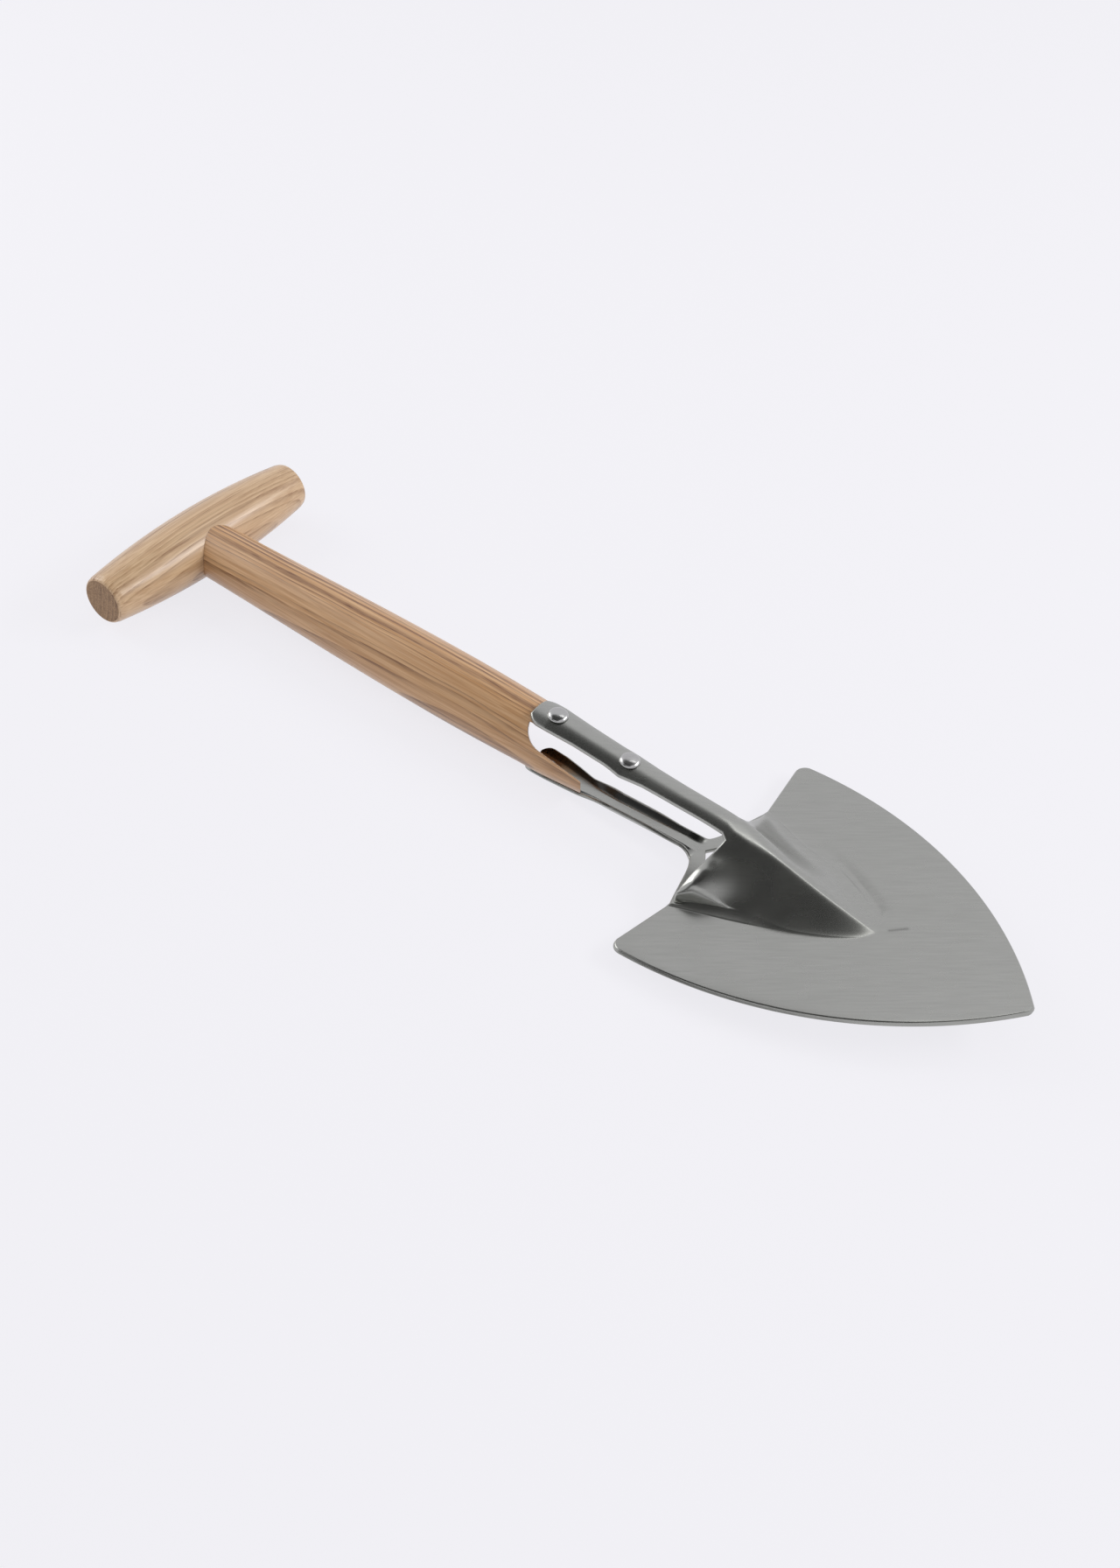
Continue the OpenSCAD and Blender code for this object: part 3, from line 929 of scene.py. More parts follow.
def ring_faces(rings: int, turns: int, closed: bool = False) -> list[Quad]:
    """Fills the bands between rings of points that follow one another.

    Args:
        rings: number of rings.
        turns: points round each ring.
        closed: whether the last ring joins the first one.

    Returns:
        The faces.
    """
    faces: list[Quad] = []
    for i in range(rings if closed else rings - 1):
        m = (i + 1) % rings
        for j in range(turns):
            k = (j + 1) % turns
            faces.append((i * turns + j, i * turns + k, m * turns + k, m * turns + j))
    return faces


def lathe(
    name: str, profile: Sequence[tuple[float, float]], turns: int, place: Matrix
) -> bpy.types.Object:
    """Turns a profile about Z.

    Args:
        name: the object's name.
        profile: radius and height of each ring. The first and the last ring are closed with a face.
        turns: points round each ring.
        place: matrix in millimetres.

    Returns:
        The turned piece.
    """
    ring = circle(turns)
    points = [(r * c, r * n, z) for r, z in profile for c, n in ring]
    faces = ring_faces(len(profile), turns)
    last = (len(profile) - 1) * turns
    faces.append(tuple(range(turns - 1, -1, -1)))
    faces.append(tuple(last + j for j in range(turns)))
    return mesh_object(name, points, faces, place)


def prism(
    name: str, outline: Sequence[tuple[float, float]], low: float, high: float, place: Matrix
) -> bpy.types.Object:
    """Extrudes an outline along Z.

    Args:
        name: the object's name.
        outline: the outline's points, counter-clockwise.
        low: lower end.
        high: upper end.
        place: matrix in millimetres.

    Returns:
        The prism.
    """
    n = len(outline)
    points = [(x, y, low) for x, y in outline] + [(x, y, high) for x, y in outline]
    faces: list[Quad] = [tuple(range(n - 1, -1, -1)), tuple(range(n, 2 * n))]
    faces += [(i, (i + 1) % n, (i + 1) % n + n, i + n) for i in range(n)]
    return mesh_object(name, points, faces, place)


def cut(piece: bpy.types.Object, *cutters: bpy.types.Object) -> None:
    """Cuts pieces out of another and removes them.

    Args:
        piece: the object that is cut.
        cutters: closed objects to take away.
    """
    for cutter in cutters:
        modifier = piece.modifiers.new("cut", "BOOLEAN")
        modifier.operation = "DIFFERENCE"
        modifier.solver = "EXACT"
        modifier.object = cutter
        graph = bpy.context.evaluated_depsgraph_get()
        result = bpy.data.meshes.new_from_object(piece.evaluated_get(graph))
        piece.modifiers.clear()
        piece.data = result
        bpy.data.objects.remove(cutter)


def dress(
    piece: bpy.types.Object, material: bpy.types.Material, slot: str, *nodes: str
) -> bpy.types.Object:
    """Gives a piece its material and its place in the part.

    Args:
        piece: the object.
        material: its finish.
        slot: the record's material slot; not used.
        nodes: names of the solids that it stands for.

    Returns:
        The same object.
    """
    if not piece.data.materials:
        piece.data.materials.append(material)
    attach(piece, "root")
    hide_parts(*nodes)
    LOG.info("%s stands for %s, %d faces", piece.name, ", ".join(nodes), len(piece.data.polygons))
    return piece


@dataclass
class CrossGrip:
    """Turned cross grip: a barrel with rounded rims, flat ends and a through hole for the tenon."""

    lay: Layout
    turns: int = 144
    belly_steps: int = 120
    rim_steps: int = 8
    end_rings: tuple = (0.6, 3.0, 6.0, 9.0)
    hole_gap: float = 0.1
    hole_half: float = 40.0
    hole_turns: int = 96

    def profile(self) -> list[tuple[float, float]]:
        """Draws the grip's half section.

        Returns:
            Radius and side distance of each ring, from one end to the other.
        """
        half, rim_r = self.lay.grip_len / 2, self.lay.grip_rim_r
        rim = []
        for i in range(self.rim_steps + 1):
            a = math.pi / 2 * i / self.rim_steps
            r = self.lay.grip_end_r - rim_r * (1 - math.sin(a))
            rim.append((r, half - rim_r * (1 - math.cos(a))))
        disc = [(r, half) for r in self.end_rings]
        belly = []
        for i in range(1, self.belly_steps):
            x = mix(half - rim_r, rim_r - half, i / self.belly_steps)
            belly.append((self.lay.grip_r(x), x))
        one = disc + rim + belly
        return one + [(r, -x) for r, x in reversed(disc + rim)]

    def build(self, finishes: Finishes) -> list[bpy.types.Object]:
        """Builds the grip.

        Args:
            finishes: the spade's finishes.

        Returns:
            The grip's pieces.
        """
        place = self.lay.along_grip()
        rings = [(r, -x) for r, x in self.profile()]
        grip = lathe("cross_grip", rings, self.turns, place)
        hole_r = self.lay.tenon_r + self.hole_gap
        walls = [(hole_r, -self.hole_half), (hole_r, self.hole_half)]
        cut(grip, lathe("tenon_hole", walls, self.hole_turns, self.lay.along_shaft()))
        smooth(grip, 35)
        grip.data.materials.append(finishes.grip)
        grip.data.materials.append(finishes.grip_end)
        for face in grip.data.polygons:
            if abs(face.normal.x) > 0.9 and abs(face.center.x) > (self.lay.grip_len / 2 - 1) * MM:
                face.material_index = 1
        return [dress(grip, finishes.grip, "ash", "t_grip")]


@dataclass
class Shaft:
    """Ash shaft with a coped shoulder, a tenon, and a slanted fork that the straps hold."""

    lay: Layout
    turns: int = 144
    steps: int = 260
    first_station: float = 4.0
    edge_round: float = 0.35
    glue_gap: float = 0.1
    cope_half: float = 30.0
    cope_steps: int = 60
    tenon_rings: tuple = (0.5, 2.5, 4.5, 6.5, 8.5)
    tenon_turns: int = 96
    tenon_sunk: float = 0.06
    tenon_root: float = 4.0
    hole_gap: float = 0.05
    hole_turns: int = 48
    burr_room_r: float = 4.2
    burr_room_h: float = 8.0
    tongue_half_w: float = 5.0
    tongue_len: float = 69.0
    tongue_under: float = 10.4
    tongue_from: float = 9.0
    scoop_r: float = 12.5
    scoop_from: float = 7.2
    scoop_low: float = 7.3
    scoop_end: float = 268.0
    scoop_steps: int = 40
    cut_top: float = 3.36
    cut_roll: float = 42.6
    cut_slant: float = 24.9
    ramp_at: float = 33.0
    ramp_low: float = -18.0
    past: float = 40.0
    far_end: float = 70.0

    def barrel(self) -> bpy.types.Object:
        """Makes the cutter that copes the shoulder.

        Returns:
            The grip's round body, grown by the glue gap.
        """
        place = self.lay.along_grip()
        stops = np.linspace(-self.cope_half, self.cope_half, self.cope_steps + 1)
        rings = [(self.lay.grip_r(x) + self.glue_gap, float(x)) for x in stops]
        return lathe("cope", rings, self.turns, place)

    def fork(self) -> bpy.types.Object:
        """Makes the cutter of the fork's slanted slot.

        Returns:
            A prism with a scoop at its upper end and a ramp down to the back strap.
        """
        centre = (self.scoop_from, self.scoop_r - self.scoop_low)
        first = math.pi + math.asin((centre[1] - self.cut_top) / self.scoop_r)
        outline = []
        for i in range(self.scoop_steps + 1):
            a = mix(first, math.radians(self.scoop_end), i / self.scoop_steps)
            x, y = self.scoop_r * math.cos(a), self.scoop_r * math.sin(a)
            outline.append((centre[0] + x, centre[1] + y))
        low, at, end = self.ramp_low, self.ramp_at, self.far_end
        outline += [(at - 2.4, low + 8), (at, low + 4), (at, low), (end, low), (end, self.cut_top)]
        place = (
            self.lay.along_shaft()
            @ Matrix.Translation((0, 0, self.lay.strap_start))
            @ Matrix.Rotation(math.radians(self.cut_roll), 4, "Z")
            @ Matrix.Rotation(-math.pi / 2, 4, "Z")
            @ Matrix.Rotation(-math.pi / 2, 4, "Y")
            @ Matrix.Rotation(math.radians(self.cut_slant), 4, "Y")
        )
        return prism("fork_cut", outline, -1.5 * self.past, 1.5 * self.past, place)

    def tongue(self) -> list[bpy.types.Object]:
        """Makes the cutters beside and under the front tongue.

        Returns:
            The cutters of the far side and of the near side.
        """
        slope = 1 / math.tan(math.radians(self.cut_roll))
        w, under, past = self.tongue_half_w, self.tongue_under, self.past
        far = [(-w, under), (past, under - slope * (past + w)), (past, past), (w, past), (w, under)]
        near = [(-w, under), (-w, past), (-past, past), (-past, under + slope * (past - w))]
        first = self.lay.strap_start + self.tongue_from
        place = self.lay.along_shaft() @ Matrix.Translation((0, 0, first))
        return [prism("tongue_cut", side, 0.0, self.tongue_len, place) for side in (far, near)]

    def rivet_rooms(self, rivets: Sequence[Rivet]) -> list[bpy.types.Object]:
        """Makes the cutters of the rivets' holes and of their washers' seats.

        Args:
            rivets: the rivets that pass through the tongue.

        Returns:
            The cutters, two for each rivet.
        """
        rooms = []
        for rivet in rivets:
            place = self.lay.on_strap(rivet.station)
            hole, room, seat = rivet.shank_r + self.hole_gap, self.burr_room_r, rivet.seat
            through = [(hole, -seat - 1), (hole, 1.0)]
            under = [(room, -seat - self.burr_room_h), (room, -seat)]
            rooms.append(lathe("rivet_hole", through, self.hole_turns, place))
            rooms.append(lathe("burr_seat", under, self.hole_turns, place))
        return rooms

    def tenon(self) -> tuple[list[Point], list[Quad]]:
        """Round tenon whose end follows the grip's barrel, a hair under it.

        Returns:
            Its points as side, up and station, and its faces.
        """
        lay, turns = self.lay, self.tenon_turns
        rings, ring = (*self.tenon_rings, lay.tenon_r), circle(turns)
        points: list[Point] = []
        for r in rings:
            for c, n in ring:
                x, z = r * c, r * n
                points.append((x, z, self.tenon_sunk - math.sqrt(lay.grip_r(x) ** 2 - z * z)))
        root = lay.grip_mid_r + self.tenon_root
        points += [(lay.tenon_r * c, lay.tenon_r * n, root) for c, n in ring]
        last = len(rings) * turns
        faces: list[Quad] = [tuple(range(turns - 1, -1, -1)), tuple(range(last, last + turns))]
        return points, faces + ring_faces(len(rings) + 1, turns)

    def build(self, finishes: Finishes, rivets: Sequence[Rivet]) -> list[bpy.types.Object]:
        """Builds the shaft.

        Args:
            finishes: the spade's finishes.
            rivets: the rivets that pass through its tongue.

        Returns:
            The shaft's pieces.
        """
        last = self.lay.strap_start + self.tongue_len
        stops = np.linspace(self.first_station, last, self.steps + 1)
        profile = [(self.lay.shaft_r(s), s) for s in stops]
        shaft = lathe("ash_shaft", profile, self.turns, self.lay.along_shaft())
        cut(shaft, self.barrel(), self.fork(), *self.tongue(), *self.rivet_rooms(rivets))
        soften(shaft, self.edge_round, angle=55.0, steps=2)
        points, faces = self.tenon()
        tenon = mesh_object("tenon", points, faces, self.lay.along_shaft())
        both = bmesh.new()
        both.from_mesh(shaft.data)
        both.from_mesh(tenon.data)
        both.to_mesh(shaft.data)
        both.free()
        bpy.data.objects.remove(tenon)
        smooth(shaft, 35)
        return [dress(shaft, finishes.shaft, "ash", "shaft")]


@dataclass
class Rivet:
    """Domed rivet through the front strap, with its washer under the peened tail."""

    lay: Layout
    station: float
    seat: float
    which: str
    shank_r: float = 2.5
    head_r: float = 5.2
    head_h: float = 2.3
    burr_r: float = 4.0
    burr_t: float = 0.8
    tail_h: float = 1.2
    edge: float = 0.1
    hole_gap: float = 0.05
    dome_steps: int = 28
    dome_power: float = 0.7
    turns: int = 72
    burr_turns: int = 64

    def build(self, finishes: Finishes) -> list[bpy.types.Object]:
        """Builds the rivet and its washer.

        Args:
            finishes: the spade's finishes.

        Returns:
            The rivet and the washer.
        """
        place = self.lay.on_strap(self.station)
        gap = self.lay.seat_gap
        dome = []
        for i in range(1, self.dome_steps):
            a = math.pi / 2 * i / self.dome_steps
            up = gap + self.edge + (self.head_h - self.edge) * math.sin(a)
            dome.append((self.head_r * math.cos(a) ** self.dome_power, up))
        low = -self.seat - self.burr_t
        tail = [
            (0.4, low - self.tail_h),
            (2.0, low - self.tail_h),
            (2.5, low - self.tail_h + 0.15),
            (3.3, low - 0.25),
            (3.5, low),
            (self.shank_r, low),
        ]
        shank = [(self.shank_r, gap), (self.head_r - 0.25, gap), (self.head_r, gap + self.edge)]
        rivet = lathe(f"dome_rivet_{self.which}", tail + shank + dome, self.turns, place)
        smooth(rivet, 40)
        hole, high, edge = self.shank_r + self.hole_gap, -self.seat, self.edge
        ring = [
            (hole, low),
            (self.burr_r - edge, low),
            (self.burr_r, low + edge),
            (self.burr_r, high - edge),
            (self.burr_r - edge, high),
            (hole, high),
        ]
        burr = self.washer(ring, place)
        return [
            dress(rivet, finishes.bright, "rivet_steel", f"front_rivet_{self.which}"),
            dress(burr, finishes.bright, "rivet_steel", f"front_burr_{self.which}"),
        ]

    def washer(self, ring: Sequence[tuple[float, float]], place: Matrix) -> bpy.types.Object:
        """Turns a closed ring section about Z.

        Args:
            ring: radius and height of the section's corners.
            place: matrix in millimetres.

        Returns:
            The washer.
        """
        round_z = circle(self.burr_turns)
        points = [(r * c, r * n, z) for r, z in ring for c, n in round_z]
        faces = ring_faces(len(ring), self.burr_turns, closed=True)
        made = mesh_object(f"rivet_washer_{self.which}", points, faces, place)
        smooth(made, 30)
        return made


@dataclass
class BackScrew:
    """Short countersunk screw with a slot, driven up through the back strap."""

    lay: Layout
    station: float
    which: str
    slot_turn: float
    head_r: float = 3.5
    head_h: float = 1.7
    shank_r: float = 1.8
    length: float = 6.2
    sink: float = 0.15
    thread_turns: int = 5
    thread_depth: float = 0.3
    slot_half_w: float = 0.45
    slot_depth: float = 0.9
    turns: int = 64

    def build(self, finishes: Finishes) -> list[bpy.types.Object]:
        """Builds the screw.

        Args:
            finishes: the spade's finishes.

        Returns:
            The screw.
        """
        r, z = self.head_r, self.sink
        profile = [(0.4, z), (r - 0.2, z), (r - 0.02, z + 0.12), (self.shank_r, z + self.head_h)]
        rings = self.thread_turns * 2
        for i in range(rings):
            at = mix(z + self.head_h + 0.3, self.length - 0.8, i / (rings - 1))
            profile.append((self.shank_r - (self.thread_depth if i % 2 else 0.0), at))
        profile += [(self.shank_r * 0.6, self.length - 0.2), (0.3, self.length)]
        place = self.lay.under_strap(self.station)
        screw = lathe(f"back_screw_slotted_{self.which}", profile, self.turns, place)
        long, w = r + 1, self.slot_half_w
        slot = [(-long, -w), (long, -w), (long, w), (-long, w)]
        turned = place @ Matrix.Rotation(math.radians(self.slot_turn), 4, "Z")
        cut(screw, prism("slot", slot, -1.0, z + self.slot_depth, turned))
        smooth(screw, 30)
        return [dress(screw, finishes.bright, "rivet_steel", f"back_screw_{self.which}")]


class Net:
    """Rows of a sheet's top points, with its underside one thickness below and the rim between."""

    def __init__(self, thickness: float, rim: Sequence[tuple[float, float]]) -> None:
        """Starts an empty net.

        Args:
            thickness: the sheet's thickness.
            rim: the rim's section, as steps out and down from the edge of the flat face.
        """
        self.thickness = thickness
        self.rim = rim
        self.top: list[np.ndarray] = []
        self.cells: list[tuple[int, int, int, int]] = []

    def row(self, points: Sequence[Point]) -> list[int]:
        """Adds a row of points.

        Args:
            points: the row's points in millimetres.

        Returns:
            Their numbers.
        """
        first = len(self.top)
        self.top.extend(np.array(p, float) for p in points)
        return list(range(first, first + len(points)))

    def join(self, upper: Sequence[int], lower: Sequence[int]) -> None:
        """Fills the strip between two rows of equal length, the upper one nearer the grip."""
        for k in range(len(upper) - 1):
            self.cells.append((upper[k], lower[k], lower[k + 1], upper[k + 1]))

    def strip(
        self, rows: Iterable[Sequence[Point]], upper: Sequence[int] | None = None
    ) -> Sequence[int]:
        """Lays rows one after another and fills the strips between them.

        Args:
            rows: the rows' points in millimetres.
            upper: numbers of the row that they follow, if there is one.

        Returns:
            The numbers of the last row.
        """
        for points in rows:
            lower = self.row(points)
            if upper is not None:
                self.join(upper, lower)
            upper = lower
        return upper

    def build(self, name: str) -> bpy.types.Object:
        """Closes the sheet.

        Args:
            name: the object's name.

        Returns:
            The sheet with its underside and its rim.
        """
        top = np.array(self.top)
        normal = np.zeros_like(top)
        edges: dict[tuple[int, int], None] = {}
        for a, b, c, d in self.cells:
            n = np.cross(top[c] - top[a], top[d] - top[b])
            for v in (a, b, c, d):
                normal[v] += n
            edges.update(dict.fromkeys([(a, b), (b, c), (c, d), (d, a)]))
        normal /= np.linalg.norm(normal, axis=1)[:, None]
        low = top - self.thickness * normal
        n = len(top)
        faces: list[Quad] = list(self.cells)
        faces += [(d + n, c + n, b + n, a + n) for a, b, c, d in self.cells]
        rim = [(a, b) for a, b in edges if (b, a) not in edges]
        out = self.outward(top, normal, rim)
        points = list(map(tuple, top)) + list(map(tuple, low))
        loops: dict[int, list[int]] = {}
        for v, way in out.items():
            loops[v] = [v, *range(len(points), len(points) + len(self.rim)), v + n]
            points += [tuple(top[v] + way * step - normal[v] * down) for step, down in self.rim]
        for a, b in rim:
            for i in range(len(loops[a]) - 1):
                faces.append((loops[b][i], loops[a][i], loops[a][i + 1], loops[b][i + 1]))
        return mesh_object(name, points, faces)

    @staticmethod
    def outward(
        top: np.ndarray, normal: np.ndarray, rim: Sequence[tuple[int, int]]
    ) -> dict[int, np.ndarray]:
        """Direction out of the sheet at each point of its rim.

        Args:
            top: the top points.
            normal: their unit normals.
            rim: the rim's edges, each with the sheet on its left.

        Returns:
            The outward direction of each rim point, a little longer at corners.
        """
        ways: dict[int, list[np.ndarray]] = {}
        for a, b in rim:
            along = top[b] - top[a]
            for v in (a, b):
                way = np.cross(along, normal[v])
                ways.setdefault(v, []).append(way / np.linalg.norm(way))
        out = {}
        for v, found in ways.items():
            total = sum(found)
            size = np.linalg.norm(total)
            out[v] = total / size * min(1.3, len(found) / size)
        return out


def turned_rim(
    legs: Sequence[tuple[float, float, float]], steps: int = 4
) -> list[tuple[float, float]]:
    """Section of a sheet's rim, drawn as a path that turns from level to straight down and back.

    Args:
        legs: each a rounding radius, the tilt at its end in degrees, and a straight length.
        steps: points on each rounding.

    Returns:
        Steps out and down from the edge of the flat face.
    """
    path, out, down, tilt = [], 0.0, 0.0, 0.0
    for radius, end, length in legs:
        first, last = math.radians(tilt), math.radians(end)
        for i in range(1, steps + 1):
            a = mix(first, last, i / steps)
            side = out + radius * (math.sin(a) - math.sin(first))
            path.append((side, down + radius * (math.cos(first) - math.cos(a))))
        out, down = path[-1][0] + length * math.cos(last), path[-1][1] + length * math.sin(last)
        tilt = end
        if length > 0:
            path.append((out, down))
    return path


def end_stops(span: tuple[float, float, float], few: int, many: int) -> list[float]:
    """Places along a strap, crowded at its rounded end and even after that.

    Args:
        span: the first place, the end of the crowded stretch, and the last place.
        few: places on the crowded stretch.
        many: steps after it.

    Returns:
        The places.
    """
    first, low, high = span
    crowded = [mix(first, low, (i / few) ** 2) for i in range(few)]
    return crowded + [mix(low, high, i / many) for i in range(many + 1)]


def set_painted_shade(sheet: bpy.types.Object, shares: Iterable[float]) -> None:
    """Marks how much painted shade darkens a sheet's steel.

    Args:
        sheet: the sheet.
        shares: a share for each of its top points.
    """
    dull = sheet.data.attributes.new("dull", "FLOAT", "POINT")
    for i, share in enumerate(shares):
        dull.data[i].value = share


def rounded_end(w: float, d: float, r: float) -> float:
    """Half width of a strip at a distance from its rounded end."""
    return w - r + math.sqrt(r * r - (r - d) ** 2) if d < r else w


@dataclass
class PressedBlade:
    """Pointed blade, hollow ridge and front strap in one pressing.

    Rows run across it from the strap's end to the tip. The front width is a share along the strap.
    """

    lay: Layout
    strap_half_w: float = 10.0
    strap_end_r: float = 7.0
    corner_r: float = 6.0
    corner_back: float = 4.2
    corner_steps: int = 9
    side_steps: int = 180
    end_steps: int = 14
    strap_steps: int = 110
    edge_r: float = 1.37
    rib_cols: int = 12
    flank_cols: int = 40
    skirt_cols: int = 18
    flat_cols: int = 14
    col_powers: tuple = (1.0, 0.6, 1.0, 1.3)
    strap_part: tuple = (0.06, 0.99)
    rim_legs: tuple = ((0.9, 62, 1.15), (0.3, 90, 0.115), (0.25, 180, 0.0))
    mark_painted_shade: float = 0.45
    mouth_rise: float = 4.5
    row_fade: float = 85.0
    rib_part: float = 0.23
    foot_most: float = 0.55
    crease_past: float = 1.3
    crease_most: float = 0.7
    front_w: tuple = (
        (0, 1),
        (0.1, 1),
        (0.24, 0.9),
        (0.4, 0.88),
        (0.435, 0.91),
        (0.48, 0.97),
        (0.52, 0.91),
        (0.59, 0.81),
        (0.7, 0.77),
        (0.88, 0.74),
        (1, 0.75),
    )

    @property
    def half_cols(self) -> int:
        """Number of columns on each side of the middle one."""
        return self.rib_cols + self.flank_cols + self.skirt_cols + self.flat_cols

    def outline(self) -> list[tuple[float, float]]:
        """Draws the rim's inner line, from a shoulder corner to the tip.

        Returns:
            Side distance and station of each of its points.
        """
        lay, at, edge = self.lay, self.lay.neck - self.corner_back, self.edge_r
        rim = []
        for i in range(self.corner_steps + 1):
            a = math.pi / 2 * i / self.corner_steps
            centre = lay.side_x(at) - self.corner_r
            r = self.corner_r - edge
            rim.append((centre + r * math.sin(a), at - r * math.cos(a)))
        for i in range(1, self.side_steps + 1):
            s = mix(at, lay.neck + lay.tip_reach, (i / self.side_steps) ** 1.15)
            lean = math.asin((s - lay.neck) / lay.arc_r)
            rim.append((lay.side_x(s) - edge * math.cos(lean), s - edge * math.sin(lean)))
        rim.append((lay.tip_half_w * 0.6 - edge * 0.5, lay.blade_end - edge))
        return rim

    def column(self, k: int, stops: Sequence[float]) -> float:
        """Side distance of column k.

        Args:
            k: the column, from the middle outwards.
            stops: the rib's edge, the wall's foot, a line past the crease, and the rim.

        Returns:
            The column's side distance.
        """
        n = abs(k)
        counts = (self.rib_cols, self.flank_cols, self.skirt_cols, self.flat_cols)
        low = 0.0
        for count, power, high in zip(counts, self.col_powers, stops):
            if n <= count:
                return math.copysign(mix(low, high, (n / count) ** power), k)
            n -= count
            low = high
        return math.copysign(stops[-1], k)

    def blade_row(self, i: int, rim: Sequence[tuple[float, float]]) -> list[Point]:
        """Lays one row across the blade.

        Args:
            i: the row's number.
            rim: side distance and station of each row's end.

        Returns:
            The row's points in millimetres.
        """
        lay = self.lay
        e, so = rim[i]
        at = lay.neck - self.corner_back
        first = lay.neck + lay.mouth_past + self.edge_r
        if i <= self.corner_steps:
            sc = first + self.mouth_rise * i / self.corner_steps
        else:
            fade = max(0.0, 1 - (so - at) / self.row_fade) ** 1.5
            sc = so + (first + self.mouth_rise - at) * fade
        a = self.rib_part * min(max(lay.wall_x(sc), 16.0), self.foot_most * e)
        foot = crease = sc
        for _ in range(6):
            x_foot = min(max(lay.wall_x(foot), 6.0), self.foot_most * e)
            past = lay.crease_x(crease) + self.crease_past
            x_crease = min(max(past, x_foot + 1.5, 12.0), self.crease_most * e)
            foot = mix(sc, so, clamp01((x_foot - a) / (e - a)))
            crease = mix(sc, so, clamp01((x_crease - a) / (e - a)))
        row = []
        for k in range(-self.half_cols, self.half_cols + 1):
            x = self.column(k, (a, x_foot, x_crease, e))
            s = mix(sc, so, clamp01((abs(x) - a) / (e - a)))
            row.append(lay.at(x, s, lay.top_z(x, s)))
        return row

    def strap_row(self, u: float) -> list[Point]:
        """Lays one row across the front strap.

        Args:
            u: place along the strap, from 0 to 1.

        Returns:
            The row's points in millimetres.
        """
        lay = self.lay
        s = lay.strap_start + u * lay.strap_len
        r = lay.front_r(s)
        half_w = self.strap_half_w * table(u, self.front_w)
        w = rounded_end(half_w, u * lay.strap_len, self.strap_end_r) - self.edge_r
        turn = math.asin(max(0.2, w) / r)
        row = []
        for k in range(-self.rib_cols, self.rib_cols + 1):
            a = turn * k / self.rib_cols
            row.append(lay.at(r * math.sin(a), s, r * math.cos(a) - r + lay.crest_z(s)))
        return row

    def build(self, finishes: Finishes) -> list[bpy.types.Object]:
        """Builds the pressing.

        Args:
            finishes: the spade's finishes.

        Returns:
            The blade with its ridge and front strap.
        """
        net = Net(self.lay.sheet_t, turned_rim(self.rim_legs))
        first = self.edge_r / self.lay.strap_len
        stops = end_stops((first, *self.strap_part), self.end_steps, self.strap_steps)
        strap_end = net.strip(self.strap_row(u) for u in stops)
        rim = self.outline()
        mouth = net.row(self.blade_row(0, rim))
        middle = slice(self.half_cols - self.rib_cols, self.half_cols + self.rib_cols + 1)
        net.join(strap_end, mouth[middle])
        net.strip((self.blade_row(i, rim) for i in range(1, len(rim))), mouth)
        blade = net.build("pressed_blade")
        smooth(blade, 40)
        # Painted shade: the pressed crease past the ridge's tip is darkened.
        lay, most = self.lay, self.mark_painted_shade
        set_painted_shade(blade, (most * lay.press_mark(x, lay.grip_y - y) for x, y, _ in net.top))
        return [dress(blade, finishes.steel, "satin_steel", "blade")]


